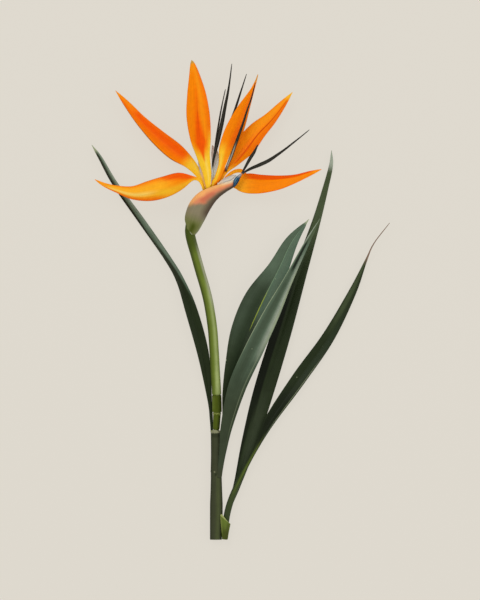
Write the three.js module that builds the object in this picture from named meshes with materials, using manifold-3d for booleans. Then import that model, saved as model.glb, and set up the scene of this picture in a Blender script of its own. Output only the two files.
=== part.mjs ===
// Bird of paradise flower: one cut stem with its flower head and five leaves, laid on its back.
// Millimetres, +Z up. While it is built, the origin is the middle of the cut end on the table:
// X runs to the right, Y runs up the stem to the flower and Z is the height over the table.
import * as THREE from "three";
import Module from "manifold-3d";

const wasm = await Module();
wasm.setup();

const UP = new THREE.Vector3(0, 0, 1);
const TABLE = 0;
const GAP = 0.35; // clearance of a foot in its socket
const EDGE = 0.6; // the thinnest that a blade gets
const TIP = 0.8; // the width that a blade ends in
const ROUND = 0.8; // how far a blade thins from its rib to its edges
const STEP = 1e-3; // share of a route that its direction is taken over

// The cut end
const STEM_HEIGHT = 8.6;
const STEM_AXIS = 4.1; // height of its middle, so that it stands on a flat 2 mm wide
const STEM = [
  // y, x, width
  [0, -0.15, 11.1],
  [10, 0.05, 11.5],
  [22, 0.3, 12],
  [34, 0.35, 12],
  [45, 0.35, 11.1],
  [57, 0.3, 10.4],
  [63, 0.1, 10],
  [64.5, 0, 10.4], // the joint under the folded leaf
  [66, -0.1, 9.8],
  [80, -0.35, 8.8],
  [101.4, -0.5, 8.8],
  [103.2, -0.6, 9.8], // the cut rim of the sheath
];

// The flower stalk: its route as y, x, height, and its diameter as y, diameter
const STALK = [
  [90, -0.1, 4.4],
  [103, -0.1, 4.5],
  [119, 0.9, 5.2],
  [137, 0.6, 6.4],
  [156, -0.5, 7.8],
  [177.5, -1.7, 9.8],
  [199.5, -3.3, 12.2],
  [222, -6.7, 14.8],
  [237, -10.2, 16.8],
  [252, -14.6, 18.8],
  [267, -18.8, 20.8],
  [282, -23, 22.8],
  [290, -24.4, 23.8],
  [297, -24.2, 24.4],
];
const STALK_GIRTH = [
  [90, 4.6],
  [103.6, 5.2],
  [105, 6],
  [118, 6.6],
  [119, 7.8], // the joint that the bract stands on
  [120, 7],
  [136.4, 7],
  [137.2, 8.8],
  [200, 9],
  [267, 9.1],
  [282, 9.3],
  [291, 9.3],
  [297, 8.4],
];

// The bract on the stalk: open at the back
const BRACT_FROM = 120.5;
const BRACT_TO = 136.2;
const BRACT_RADIUS = 4.5;
const BRACT_ARC = 150; // degrees each way from the front

// The spathe: x, y, height, width, depth, slant of the section, and how far its top edge is open
const SPATHE = [
  [-24.6, 290.2, 23.8, 10.9, 10.9, 3, 0],
  [-22.2, 295.5, 24.2, 15, 12.6, 1.2, 0],
  [-19.7, 303.5, 24.8, 19, 14.6, 0, 0],
  [-15.5, 313, 25, 20, 15, 0, 0.3],
  [-9.5, 320.5, 25, 18, 14, 0, 0.8],
  [-1.5, 326.5, 25, 13.2, 12, 0, 1],
  [7, 331, 25, 9.4, 9.4, 0, 1],
  [14.5, 334.6, 25, 7.4, 6.4, 0, 0.8],
  [19.4, 337, 25, 3.4, 3, 0, 0],
  [21.2, 337.8, 25, 0.9, 1, 0, 0],
];
// The slit along its top edge: x, y, height, depth across both ways, width
const SLIT = [
  [-14, 329.2, 25, 1.5, 2],
  [-12.4, 330, 25, 8.4, 6.2],
  [-9, 331.2, 25, 11.4, 6.8],
  [-1.5, 333.6, 25, 11.4, 6.6],
  [6.5, 336.2, 25, 9.6, 5.2],
  [13, 338.4, 25, 7.4, 3.6],
  [16.4, 339.6, 25, 2, 1.6],
];

// A blade's rows run from its foot to its tip: x, y, height of its rib, width, roll in degrees
// (right edge up), height of its edges over its rib, and slant (right edge forward).
const SEPALS = {
  sepal_left_low: {
    thick: [1.7, 1.7, 1.5, 1.3, 1.1, 0.9],
    rows: [
      [-11.5, 329, 26, 1.8, 0, 0],
      [-13.1, 334, 26.9, 2, 0, 0],
      [-16.2, 338.6, 27.6, 2.6, 0, 0],
      [-22, 340, 28.6, 5, 4, -0.5],
      [-33, 337.4, 30.5, 16.2, 10, -2.2],
      [-47.5, 331.4, 32.5, 20.2, 12, -3.2],
      [-62.5, 327.4, 33.5, 19.2, 12, -3.2],
      [-78, 326.2, 33, 12.8, 8, -2.4],
      [-93, 329.9, 31, 6.8, 4, -1.2],
      [-104.5, 334, 28.5, 3.8, 0, -0.3],
      [-113.5, 339, 26.5, 0.8, 0, 0],
    ],
  },
  sepal_left: {
    thick: [2, 1.8, 1.4, 1.2, 1, 0.8],
    rows: [
      [-9.3, 328.8, 23.2, 2.8, 0, 0],
      [-11.2, 334, 22.9, 4.4, 0, 0],
      [-15.5, 343, 22.4, 6, 0, -0.4],
      [-24.6, 354.5, 21.4, 10.6, -4, -1.4],
      [-38.2, 365.8, 20, 16.8, -8, -2.8],
      [-53.7, 378.9, 18, 15.2, -10, -3],
      [-70, 394.5, 16, 10.5, -8, -2.2],
      [-83, 409.5, 14, 6.4, -4, -1.2],
      [-94.5, 423, 12.5, 0.8, 0, 0],
    ],
  },
  sepal_centre: {
    thick: [2.1, 1.8, 1.4, 1.2, 1, 0.8],
    rows: [
      [-7.1, 329, 26.7, 3.4, 0, 0],
      [-7.3, 334, 27.2, 4.9, 0, 0],
      [-8.2, 344.5, 28, 7.9, 2, -0.8],
      [-11.9, 361, 29.8, 12.9, 4, -2],
      [-14.6, 377, 32.2, 19.5, 6, -3.2],
      [-17, 397.5, 35.6, 22.2, 8, -3.8],
      [-18.2, 417.5, 39, 18, 6, -3],
      [-19.9, 435, 41.8, 10.5, 3, -1.8],
      [-21.5, 445.5, 43.4, 5, 0, -0.8],
      [-22.5, 450, 44, 0.8, 0, 0],
    ],
  },
  sepal_right_inner: {
    thick: [1.9, 1.7, 1.4, 1.2, 1, 0.8],
    rows: [
      [-4.2, 330.2, 24, 3.6, 0, 0],
      [-1.8, 335.5, 24, 4.8, 0, 0],
      [1.5, 340.5, 24.3, 6, 0, 0.2],
      [6, 353.5, 25.2, 7, 0, 0.8],
      [9, 367, 26.2, 12.5, -3, 1.6],
      [14, 378, 27.2, 16.5, -5, 2.3],
      [19, 389.5, 28.2, 16.5, -5, 2.5],
      [26, 405.5, 29.4, 11.5, -3, 1.8],
      [33.5, 421, 30.4, 4.6, 0, 0.8],
      [37.5, 431, 30.8, 1.8, 0, 0.2],
      [39.5, 437.5, 31, 0.8, 0, 0],
    ],
  },
  sepal_right: {
    keel: 0.35,
    thick: [1.5, 1.4, 1.3, 1.2, 1, 0.8],
    rows: [
      [3.2, 334.2, 23.2, 2.2, 0, 0],
      [4.5, 338.5, 22.3, 3.2, 0, 0],
      [6.6, 343, 21.5, 4, 0, 0],
      [10.4, 348.4, 21, 5, 0, -0.4],
      [18.5, 357.5, 20.6, 10.5, 4, -1.5],
      [27, 370.5, 20, 19.8, 8, -3],
      [38, 384.5, 19, 17.8, 8, -3],
      [50.6, 396.4, 17, 12.6, 6, -2.2],
      [62.2, 409.7, 14.6, 7.2, 3, -1.2],
      [72, 421.5, 12.6, 0.8, 0, 0],
    ],
  },
  sepal_right_low: {
    keel: -0.35,
    thick: [1.1, 1.2, 1.2, 1.1, 1, 0.8],
    rows: [
      [15.4, 331.6, 18.6, 1.6, 0, 0],
      [18.9, 333.9, 18.6, 10.4, 0, 0.6],
      [24, 335.8, 19, 17.2, 0, 1.2],
      [31.5, 335.7, 20, 19.2, -6, 2],
      [43, 335.2, 21.8, 17.6, -8, 2.4],
      [59, 336.4, 24, 13.4, -6, 2],
      [74.5, 339.8, 26, 8, -3, 1],
      [88.8, 344.9, 27.6, 4.4, 0, 0.3],
      [99, 348.5, 28.6, 0.8, 0, 0],
    ],
    claw: {
      thick: [1.1, 1.2, 1.1, 1],
      rows: [
        [8, 334.8, 24, 1.8, 0, 0],
        [8.9, 339.6, 23.1, 2.4, 0, 0],
        [12.6, 343.6, 21.6, 3, 0, 0],
        [18, 346.8, 20.4, 3.4, 0, 0],
        [24, 347, 19.6, 3.8, 0, 0],
        [28.8, 341.5, 19.3, 4.2, 0, 0],
      ],
    },
  },
};

const DARK_THICK = [0.9, 1, 0.9, 0.7];
const DARK_PETALS = {
  petal_dark_centre: [
    [-3.7, 341, 25.4, 1, 0, 0],
    [-3.5, 348, 26, 1.5, 0, 0],
    [-2, 359, 27.2, 2.3, 0, 0.2],
    [1, 370.5, 28.8, 3, 0, 0.4],
    [3.5, 381.5, 30.4, 3.5, 0, 0.6],
    [6, 393, 32, 3.6, 0, 0.6],
    [8.5, 406, 33.8, 3, 0, 0.4],
    [11.5, 421, 35.6, 2.1, 0, 0.2],
    [13.5, 434.5, 37, 1.3, 0, 0],
    [15, 447, 38, 0.8, 0, 0],
  ],
  petal_dark_short: [
    [-1.4, 365.5, 26.9, 1.1, 0, 0],
    [0.4, 378, 27.4, 1.5, 0, 0],
    [2.3, 389, 28.2, 1.6, 0, 0],
    [4.6, 402.5, 29, 1.4, 0, 0],
    [7, 414.5, 29.4, 1, 0, 0],
    [9, 423.5, 29.6, 0.8, 0, 0],
  ],
  petal_dark_back: [
    [0.4, 332.4, 22.7, 1.1, 0, 0],
    [1.2, 337, 22, 1.3, 0, 0],
    [2.1, 343, 21.2, 1.4, 0, 0],
    [3.3, 352.5, 20.3, 1.7, 0, 0],
    [4.5, 366.5, 20, 1.9, 0, 0.1],
    [8, 380, 19.8, 2.1, 0, 0.3],
    [12, 390, 19.6, 2.3, 0, 0.3],
    [16.5, 400.5, 19.2, 2.3, 0, 0.3],
    [20, 411, 18.6, 2.1, 0, 0.2],
    [23, 420.5, 18, 1.7, 0, 0],
    [25.6, 428.5, 17.4, 1.2, 0, 0],
    [28.8, 438.5, 16.6, 0.8, 0, 0],
  ],
  petal_dark_front: [
    [9.2, 346.4, 22.8, 1.3, 0, 0],
    [10, 349.5, 23.6, 2, 0, 0],
    [12.1, 355, 25.7, 2.4, 0, 0.2],
    [15, 362, 28, 2.8, 0, 0.5],
    [18, 370.5, 30.2, 2.8, 0, 0.6],
    [22, 381.5, 32.4, 2.6, 0, 0.5],
    [26, 393, 34, 2.1, 0, 0.3],
    [29.5, 404, 35, 1.7, 0, 0],
    [33.5, 415.5, 35.6, 1.3, 0, 0],
    [37, 429.5, 35.8, 0.8, 0, 0],
  ],
  petal_dark_upright: [
    [24.3, 344.8, 29.5, 1.5, 0, 0],
    [26, 347.6, 29.8, 1.9, 0, 0],
    [29, 353, 30.2, 2.6, 0, 0.2],
    [32.3, 358.9, 30.4, 3.1, 0, 0.4],
    [35.5, 363.8, 30, 2.8, 0, 0.3],
    [37.9, 368.4, 29.4, 1.8, 0, 0],
    [39.4, 371.6, 28.8, 0.8, 0, 0],
  ],
  petal_dark_long: [
    [24.9, 344.2, 28.5, 1.4, 0, 0],
    [28.5, 346.9, 28.2, 2.1, 0, 0],
    [33.5, 349.5, 28.8, 2.8, 0, 0.2],
    [41, 352.6, 29.6, 3.4, 0, 0.5],
    [49.5, 356.6, 30.6, 3.3, 0, 0.5],
    [57.4, 361.8, 31.8, 2.6, 0, 0.3],
    [64.8, 367.1, 33, 2, 0, 0.2],
    [72.3, 373, 34, 1.6, 0, 0],
    [79.9, 379, 34.6, 1.1, 0, 0],
    [87.6, 385.3, 35, 0.8, 0, 0],
  ],
};

const BLUE_THICK = [1, 1.7, 1.6, 1];
const BLUE_ARROW = [
  [17, 331.8, 28.3, 0.9, 0, 0],
  [18, 334.6, 28.7, 3.5, 0, -0.4],
  [19.1, 337.6, 28.8, 5, 0, -0.8],
  [21, 340.8, 28.8, 3.8, 0, -0.5],
  [24.1, 344.2, 28.95, 1.6, 0, 0],
];

const PALE_THICK = [0.7, 0.7];
const PALE_PETALS = {
  petal_pale_left: [
    [-9, 331.4, 24.8, 2, 0, 0],
    [-10.9, 339, 24.8, 3.2, 0, 0.2],
    [-12.5, 345, 24.9, 3.8, 0, 0.3],
    [-14.5, 350.5, 25, 3.2, 0, 0.2],
    [-16.5, 355.5, 25, 0.8, 0, 0],
  ],
  petal_pale_middle: [
    [-3.6, 332, 22.4, 2.2, 0, 0],
    [-1.6, 341.5, 22.3, 5, 0, 0.2],
    [-0.5, 349.5, 22.4, 6.4, 0, 0.4],
    [-0.5, 357.5, 22.5, 7, 0, 0.5],
    [-1.2, 364.5, 22.6, 6.4, 0, 0.3],
    [-3.4, 371.4, 22.8, 0.8, 0, 0],
  ],
  petal_pale_mouth: [
    [1.8, 333.2, 26.9, 1.4, 0, 0],
    [5, 336, 26.4, 3.4, 0, 0.1],
    [10, 338.6, 25.9, 4.6, 0, 0.3],
    [14.5, 340.8, 25.8, 4.2, 0, 0.3],
    [19.2, 343, 26, 0.8, 0, 0],
  ],
};

const LEAVES = {
  leaf_left: {
    colour: 0x2a3a26,
    thick: [1.5, 2, 2, 1.5, 1.2, 1.1, 1, 0.8],
    rows: [
      [-3.8, 99.2, 2.5, 2.2, 0, 0],
      [-4.4, 113, 2.5, 3, 0, 0],
      [-5.9, 131, 2.5, 4.2, 0, 0.1],
      [-11.7, 173.5, 4.2, 10.8, 0, 2.2],
      [-22.9, 215, 5, 11.6, 0, 3],
      [-33.5, 244, 4.2, 7.8, 0, 2.2],
      [-45.8, 265.5, 2.8, 6.4, 0, 1.4],
      [-70.2, 300.5, 0.55, 6.4, 0, 1.4],
      [-95, 335.2, 2.2, 5.2, 0, 1.2],
      [-108.9, 359.6, 5, 3.8, 0, 0.8],
      [-117, 372, 7.6, 0.8, 0, 0],
    ],
  },
  leaf_broad: {
    colour: 0x34493a,
    keel: 0.06,
    thick: [2, 2, 1.5, 1.2, 1.1, 1, 1, 0.8],
    rows: [
      [5.1, 92, 2, 2.2, 0, 0],
      [5.7, 104, 2.1, 2.6, 0, 0.1],
      [7.8, 115.5, 2.8, 3.8, 0, 0.4],
      [11.5, 137.5, 6.6, 11, 0, 1.4],
      [18.5, 163, 9.4, 20, 3, 2.4],
      [29.5, 194.5, 10.8, 31.5, 4, 2.8],
      [43, 225, 11.2, 33, 3, 2.8],
      [58.5, 255, 10.8, 20, 0, 2.2],
      [71.2, 281, 9.8, 12.2, -4, 1.2],
      [87.5, 302, 9, 0.8, 0, 0],
    ],
  },
  leaf_folded: {
    colour: 0x4a5c4a,
    keel: 0.3,
    thick: [4.2, 3.6, 2.6, 1.6, 1.3, 1.1, 1, 0.8],
    rows: [
      [2.3, 58.6, 6, 6.2, 0, 0],
      [3.6, 68, 6.2, 6.4, 0, 0],
      [6.2, 83, 6.8, 7, 0, 0.3],
      [10.5, 109, 8, 11.5, 0, 1.6],
      [20.5, 145, 12.6, 17, 4, 3.2],
      [36, 178.5, 16, 18, 8, 3.8],
      [52.5, 212, 17.6, 15.5, 10, 3.6],
      [68.8, 245.5, 17.4, 8.8, 8, 2.6],
      [85.3, 279, 15.6, 5, 4, 1],
      [98, 302.5, 14, 0.8, 0, 0],
    ],
  },
  leaf_tall: {
    colour: 0x27351f,
    thick: [2.8, 2.4, 1.6, 1.2, 1.1, 1.1, 1, 0.8],
    rows: [
      [7.8, 2, 2.2, 3.8, 0, 0],
      [10.2, 24, 2.4, 4.2, 0, 0],
      [19.7, 50.7, 2.2, 6.8, 0, 0.2],
      [31.5, 91.7, 3.2, 14.8, 0, 1.4],
      [45.1, 140.1, 4.6, 19.2, 2, 2.6],
      [61.9, 195, 4.4, 18.3, 3, 2.6],
      [78.5, 249.5, 2.8, 13.6, 0, 2],
      [93.9, 297.5, 1, 8.2, 0, 1.2],
      [103.5, 332, 0.5, 5.4, 0, 0.6],
      [108.5, 353, 2.2, 3.8, 0, 0.3],
      [109, 367, 4.4, 0.8, 0, 0],
    ],
  },
  leaf_right: {
    colour: 0x2b3a20,
    thick: [4.4, 4.2, 3.4, 3, 1.5, 1.2, 1, 0.7],
    rows: [
      [8, 0.3, 6.2, 5, 0, 0],
      [10.4, 23.5, 6.7, 6, 0, 0],
      [15.9, 42, 7.3, 5.8, 0, 0],
      [25.9, 64, 7.8, 4.4, 0, 0],
      [37.3, 85.5, 7.4, 4.2, 0, 0.2],
      [51.2, 113.2, 6.8, 10.4, -6, 0.8],
      [78.4, 152.1, 2.4, 13.6, 0, 2.6],
      [106, 191, 0.55, 12, 0, 2.4],
      [128.5, 233, 2.2, 7.5, 0, 1.6],
      [141.6, 263.5, 5, 2.2, 0, 0.4],
      [149, 279.5, 7.4, 1, 0, 0],
      [163.5, 298.5, 11, 0.8, 0, 0],
    ],
  },
};

const SHEATH_THICK = [1.1, 0.9];
const CUT_SHEATH = [
  [8.4, 0.4, 10, 5.4, 0, -1.4, 0],
  [8.7, 9, 10.3, 7.4, -3, -2.4, -1.5],
  [9.1, 19.9, 10.8, 10.6, -6, -3.2, -4.2],
];

// The numbers of a list of rows at a share t of its length, on a smooth curve through the rows.
function along(rows, t) {
  const last = rows.length - 1;
  const place = Math.min(Math.max(t, 0), 1) * last;
  const k = Math.min(Math.floor(place), last - 1);
  const f = place - k;
  return rows[k].map((b, column) => {
    const c = rows[k + 1][column];
    const a = k > 0 ? rows[k - 1][column] : 2 * b - c;
    const d = k + 2 <= last ? rows[k + 2][column] : 2 * c - b;
    const bend = 2 * a - 5 * b + 4 * c - d + f * (3 * b - a - 3 * c + d);
    return b + 0.5 * f * (c - a + f * bend);
  });
}

// The value at x on straight lines through [x, value] pairs.
function between(pairs, x) {
  const k = Math.max(1, pairs.findIndex((pair) => pair[0] >= x));
  const [from, low] = pairs[k - 1];
  const [to, high] = pairs[k];
  return low + ((high - low) * (x - from)) / (to - from);
}

// The axes of a section: forward along the route, side to the right and up out of the blade.
function axesAt(rows, t, roll = 0) {
  const ahead = along(rows, t + STEP);
  const behind = along(rows, t - STEP);
  const forward = new THREE.Vector3(...[0, 1, 2].map((i) => ahead[i] - behind[i])).normalize();
  const side = new THREE.Vector3().crossVectors(forward, UP).normalize();
  side.applyAxisAngle(forward, -THREE.MathUtils.degToRad(roll));
  return { forward, side, up: new THREE.Vector3().crossVectors(side, forward) };
}

function pointFrom(centre, axes, right, high, ahead = 0) {
  const point = centre.clone();
  point.addScaledVector(axes.side, right);
  point.addScaledVector(axes.up, high);
  point.addScaledVector(axes.forward, ahead);
  point.z = Math.max(point.z, TABLE);
  return point;
}

// A closed body through rings of points. Each ring holds its upper row from left to right and
// then its lower row back, and both rows are split into triangles alike.
function loft(rings) {
  const count = rings[0].length;
  const half = count / 2;
  const at = (ring, i) => ring * count + (i % count);
  const faces = [];
  for (let k = 0; k + 1 < rings.length; k++) {
    for (let i = 0; i < count; i++) {
      const [a, b, c, d] = [at(k, i), at(k, i + 1), at(k + 1, i + 1), at(k + 1, i)];
      if (i < half) faces.push(a, b, c, a, c, d);
      else faces.push(a, b, d, b, c, d);
    }
  }
  const end = rings.length - 1;
  for (let i = 0; i + 1 < half; i++) {
    const under = count - 1 - i;
    faces.push(at(0, i), at(0, under), at(0, under - 1), at(0, i), at(0, under - 1), at(0, i + 1));
    faces.push(at(end, i), at(end, i + 1), at(end, under - 1));
    faces.push(at(end, i), at(end, under - 1), at(end, under));
  }
  const places = rings.flat().flatMap((point) => point.toArray());
  const geometry = new THREE.BufferGeometry();
  geometry.setAttribute("position", new THREE.Float32BufferAttribute(places, 3));
  geometry.setIndex(faces);
  return geometry;
}

// A grown copy is longer at both ends as well.
function endShift(k, last, grow) {
  if (k === 0) return -grow;
  return k === last ? grow : 0;
}

// A leaf, sepal or petal. The keel is where its rib lies, from -1 at its left edge to 1.
function blade(rows, { thick, keel = 0, steps = 18, columns = 4, grow = 0 }) {
  const across = [];
  for (let i = 0; i <= columns; i++) {
    const u = (2 * i) / columns - 1;
    across.push(u < 0 ? u + keel * (1 + u) : u + keel * (1 - u));
  }
  const thickness = thick.map((value) => [value]);
  const rings = [];
  for (let k = 0; k <= steps; k++) {
    const t = k / steps;
    const [x, y, z, width, roll, fold, slant = 0] = along(rows, t);
    const axes = axesAt(rows, t, roll);
    const centre = new THREE.Vector3(x, y, z).addScaledVector(axes.forward, endShift(k, steps, grow));
    const reach = Math.max(width, TIP) / 2 + grow;
    const [full] = along(thickness, t);
    const row = (face) =>
      across.map((u) => {
        const share = u < keel ? (keel - u) / (1 + keel) : (u - keel) / (1 - keel);
        const body = Math.max(EDGE, full * Math.sqrt(1 - ROUND * u * u)) / 2 + grow;
        return pointFrom(centre, axes, u * reach, fold * share ** 1.4 + face * body, u * slant);
      });
    rings.push([...row(1), ...row(-1).reverse()]);
  }
  return loft(rings);
}

// A round body: sections are x, y, height, width, depth, slant and how square its left side is.
function pod(rows, { sides = 16, steps = 24, grow = 0 }) {
  const rings = [];
  for (let k = 0; k <= steps; k++) {
    const t = k / steps;
    const [x, y, z, width, depth, slant = 0, open = 0] = along(rows, t);
    const centre = new THREE.Vector3(x, y, z);
    const axes = axesAt(rows, t);
    const ring = [];
    for (let i = 0; i < sides; i++) {
      const angle = ((i + 0.5) / sides) * 2 * Math.PI - Math.PI / 2;
      const right = Math.sin(angle);
      const square = right < 0 ? 1 - 0.5 * open : 1;
      const high = Math.sign(Math.cos(angle)) * Math.abs(Math.cos(angle)) ** square;
      const spread = 1 - 0.2 * open * right;
      const reach = width / 2 + grow;
      const rise = (depth / 2 + grow) * high * spread;
      ring.push(pointFrom(centre, axes, right * reach, rise, -slant * right));
    }
    rings.push(ring);
  }
  return loft(rings);
}

// The point of the flower stalk's middle at a given y, with the axes there.
function stalkAt(y) {
  let low = 0;
  let high = 1;
  for (let i = 0; i < 30; i++) {
    const middle = (low + high) / 2;
    if (along(STALK, middle)[0] < y) low = middle;
    else high = middle;
  }
  const rows = STALK.map(([rowY, x, z]) => [x, rowY, z]);
  return { centre: new THREE.Vector3(...along(rows, low)), axes: axesAt(rows, low) };
}

function stalk({ sides = 14, grow = 0 } = {}) {
  const levels = STALK_GIRTH.map(([y]) => y);
  for (let y = 144; y < 291; y += 8) levels.push(y);
  levels.sort((a, b) => a - b);
  const rings = levels.map((y, k) => {
    const { centre, axes } = stalkAt(y);
    centre.addScaledVector(axes.forward, endShift(k, levels.length - 1, grow));
    const radius = between(STALK_GIRTH, y) / 2 + grow;
    return Array.from({ length: sides }, (_, i) => {
      const angle = ((i + 0.5) / sides) * 2 * Math.PI - Math.PI / 2;
      return pointFrom(centre, axes, radius * Math.sin(angle), radius * Math.cos(angle));
    });
  });
  return loft(rings);
}

function stem({ sides = 16 } = {}) {
  const rings = STEM.map(([y, x, width]) =>
    Array.from({ length: sides }, (_, i) => {
      const angle = ((i + 0.5) / sides) * 2 * Math.PI - Math.PI / 2;
      const z = STEM_AXIS + (STEM_HEIGHT / 2) * Math.cos(angle);
      return new THREE.Vector3(x + (width / 2) * Math.sin(angle), y, Math.max(z, TABLE));
    }),
  );
  return loft(rings);
}

function bract() {
  const steps = 4;
  const columns = 12;
  const rings = [];
  for (let k = 0; k <= steps; k++) {
    const { centre, axes } = stalkAt(BRACT_FROM + ((BRACT_TO - BRACT_FROM) * k) / steps);
    const arc = (radius) =>
      Array.from({ length: columns + 1 }, (_, i) => {
        const angle = THREE.MathUtils.degToRad(BRACT_ARC * ((2 * i) / columns - 1));
        return pointFrom(centre, axes, radius * Math.sin(angle), radius * Math.cos(angle));
      });
    rings.push([...arc(BRACT_RADIUS), ...arc(BRACT_RADIUS - EDGE).reverse()]);
  }
  return loft(rings);
}

function solid(geometry) {
  const vertProperties = new Float32Array(geometry.getAttribute("position").array);
  const triVerts = new Uint32Array(geometry.getIndex().array);
  return new wasm.Manifold(new wasm.Mesh({ numProp: 3, vertProperties, triVerts }));
}

function geometryOf(manifold) {
  const { vertProperties, triVerts } = manifold.getMesh();
  const geometry = new THREE.BufferGeometry();
  geometry.setAttribute("position", new THREE.BufferAttribute(vertProperties, 3));
  geometry.setIndex(new THREE.BufferAttribute(triVerts, 1));
  return geometry;
}

// A geometry less each of the others.
function cut(geometry, ...tools) {
  return geometryOf(tools.reduce((rest, tool) => rest.subtract(solid(tool)), solid(geometry)));
}

function sepal({ claw, ...shape }) {
  const body = blade(shape.rows, shape);
  if (!claw) return body;
  return geometryOf(solid(body).add(solid(blade(claw.rows, { ...claw, steps: 10, columns: 2 }))));
}

const flower = new THREE.Group();

function add(name, geometry, color, roughness = 0.5) {
  const material = new THREE.MeshStandardMaterial({ color, roughness, metalness: 0 });
  geometry.computeVertexNormals();
  const mesh = new THREE.Mesh(geometry, material);
  mesh.name = name;
  flower.add(mesh);
}

function addStems() {
  const sunk = [
    stalk({ grow: GAP }),
    leaf("leaf_left", GAP),
    leaf("leaf_folded", GAP),
    leaf("leaf_broad", GAP),
  ];
  add("lower_stem", cut(stem(), ...sunk), 0x46522f);
  add("flower_stalk", stalk(), 0x6f8a3e);
  add("stalk_bract", bract(), 0x4d5f16);
  add("cut_sheath", blade(CUT_SHEATH, { thick: SHEATH_THICK, steps: 6 }), 0x8aa544);
}

function leaf(name, grow = 0) {
  const { rows, thick, keel } = LEAVES[name];
  return blade(rows, { thick, keel, steps: 26, grow });
}

function addHead() {
  const slit = pod(SLIT, { sides: 12, steps: 14, grow: 0.2 });
  add("spathe", cut(pod(SPATHE, {}), slit, stalk({ grow: GAP })), 0x9a8a66, 0.45);
  for (const [name, shape] of Object.entries(SEPALS)) add(name, sepal(shape), 0xff8410, 0.45);
  for (const [name, rows] of Object.entries(DARK_PETALS)) {
    add(name, blade(rows, { thick: DARK_THICK, steps: 14, columns: 2 }), 0x1e1c16, 0.4);
  }
  const arrow = blade(BLUE_ARROW, { thick: BLUE_THICK, steps: 8 });
  add("petal_blue_arrow", arrow, 0x2a5f88, 0.4);
  for (const [name, rows] of Object.entries(PALE_PETALS)) {
    add(name, blade(rows, { thick: PALE_THICK, steps: 8, columns: 2 }), 0xd8cfc6, 0.4);
  }
}

addStems();
addHead();
for (const name of Object.keys(LEAVES)) add(name, leaf(name), LEAVES[name].colour, 0.45);

// The part's own origin is the middle of its outline, on the table.
const box = new THREE.Box3().setFromObject(flower);
const middle = box.getCenter(new THREE.Vector3());
flower.position.set(-middle.x, -middle.y, -box.min.z);

export default flower;
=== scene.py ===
# Looks of a cut bird of paradise flower that lies on its back: six orange sepals with dark and
# pale petals between them, a beaked spathe on a bent stalk, and five long leaves.
# The tables give millimetres from the middle of the cut end: X to the right, Y up the stem and
# Z over the table. The finished pieces are in metres, in the part's own frame.
import math

import bpy
import numpy as np
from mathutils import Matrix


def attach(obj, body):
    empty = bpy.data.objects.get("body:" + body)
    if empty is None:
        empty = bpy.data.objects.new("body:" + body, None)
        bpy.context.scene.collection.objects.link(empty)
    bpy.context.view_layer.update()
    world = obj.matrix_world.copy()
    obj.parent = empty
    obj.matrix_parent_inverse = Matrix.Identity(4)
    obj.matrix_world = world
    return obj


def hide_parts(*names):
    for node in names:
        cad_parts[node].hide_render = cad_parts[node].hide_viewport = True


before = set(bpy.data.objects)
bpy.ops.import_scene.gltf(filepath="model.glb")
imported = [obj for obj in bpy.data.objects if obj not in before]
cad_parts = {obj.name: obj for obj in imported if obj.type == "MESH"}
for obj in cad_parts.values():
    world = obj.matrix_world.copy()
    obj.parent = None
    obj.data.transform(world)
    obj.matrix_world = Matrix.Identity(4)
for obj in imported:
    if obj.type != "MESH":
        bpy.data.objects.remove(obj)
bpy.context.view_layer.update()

MM = 0.001
MIDDLE = np.array((23.247, 225.062, 0.0))  # the part's origin, as the tables count
GAP = 0.3  # clearance of a foot in its socket
STEP = 1e-3  # share of a route that its direction is taken over
TIP = 0.8  # the width that a blade's table ends in
TIP_FROM = 0.96  # from here along its length a blade's tip draws in
TIP_LOSS = 0.35  # and the share of its width that it loses
THIN = 0.16  # how thin a blade's edge gets
EDGE_LOSS = 0.97  # how far a blade thins out towards its edges, 1 being to nothing
EDGE_CROWD = 0.55  # how far a blade's columns of points crowd towards its edges
CURL = 1.4  # how late the rise from a blade's rib to its edges comes
GROOVE = 0.5  # half the width of the groove along a blade's rib
GROOVE_GROWTH = 0.05  # what the blade's half width adds to that
GROOVE_FROM = 1.5  # the groove begins at this half width of the blade
GROOVE_FULL = 4.0  # and has its full depth at this one
RIB_DEPTH = 1.3  # how far the rib stands out underneath, the groove's depth being 1
UNDER = 2.0  # added to a face's place along the piece where the face is an underside
UNDER_LIMIT = 1.5  # a place above this is an underside
CUT_END = 4.5  # a face's place along the piece where the face is a cut end
CUT_LIMIT = 4.0  # a place above this is a cut end
CLAW_SPAN = 0.15  # how far along its sepal a claw of its own counts as reaching

# The cut end
STEM_HEIGHT = 8.6
STEM_AXIS = 4.1  # height of its middle, so that it stands on a flat 2 mm wide
STEM_STEP = 2.0
STEM_SIDES = 48
STEM = [
  # y, x, width
  [0, -0.15, 11.1],
  [10, 0.05, 11.5],
  [22, 0.3, 12],
  [34, 0.35, 12],
  [45, 0.35, 11.1],
  [57, 0.3, 10.4],
  [63, 0.1, 10],
  [64.5, 0, 10.4], # the joint under the folded leaf
  [66, -0.1, 9.8],
  [80, -0.35, 8.8],
  [101.4, -0.5, 8.8],
  [103.2, -0.6, 9.8], # the cut rim of the sheath
]
TORN = 0.5  # how far the cut rim rises and falls
TORN_SIDES = 1.6  # how much lower it is at its sides, counted in TORN
TORN_TURN = 0.6  # where its three points lie, in radians

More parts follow.
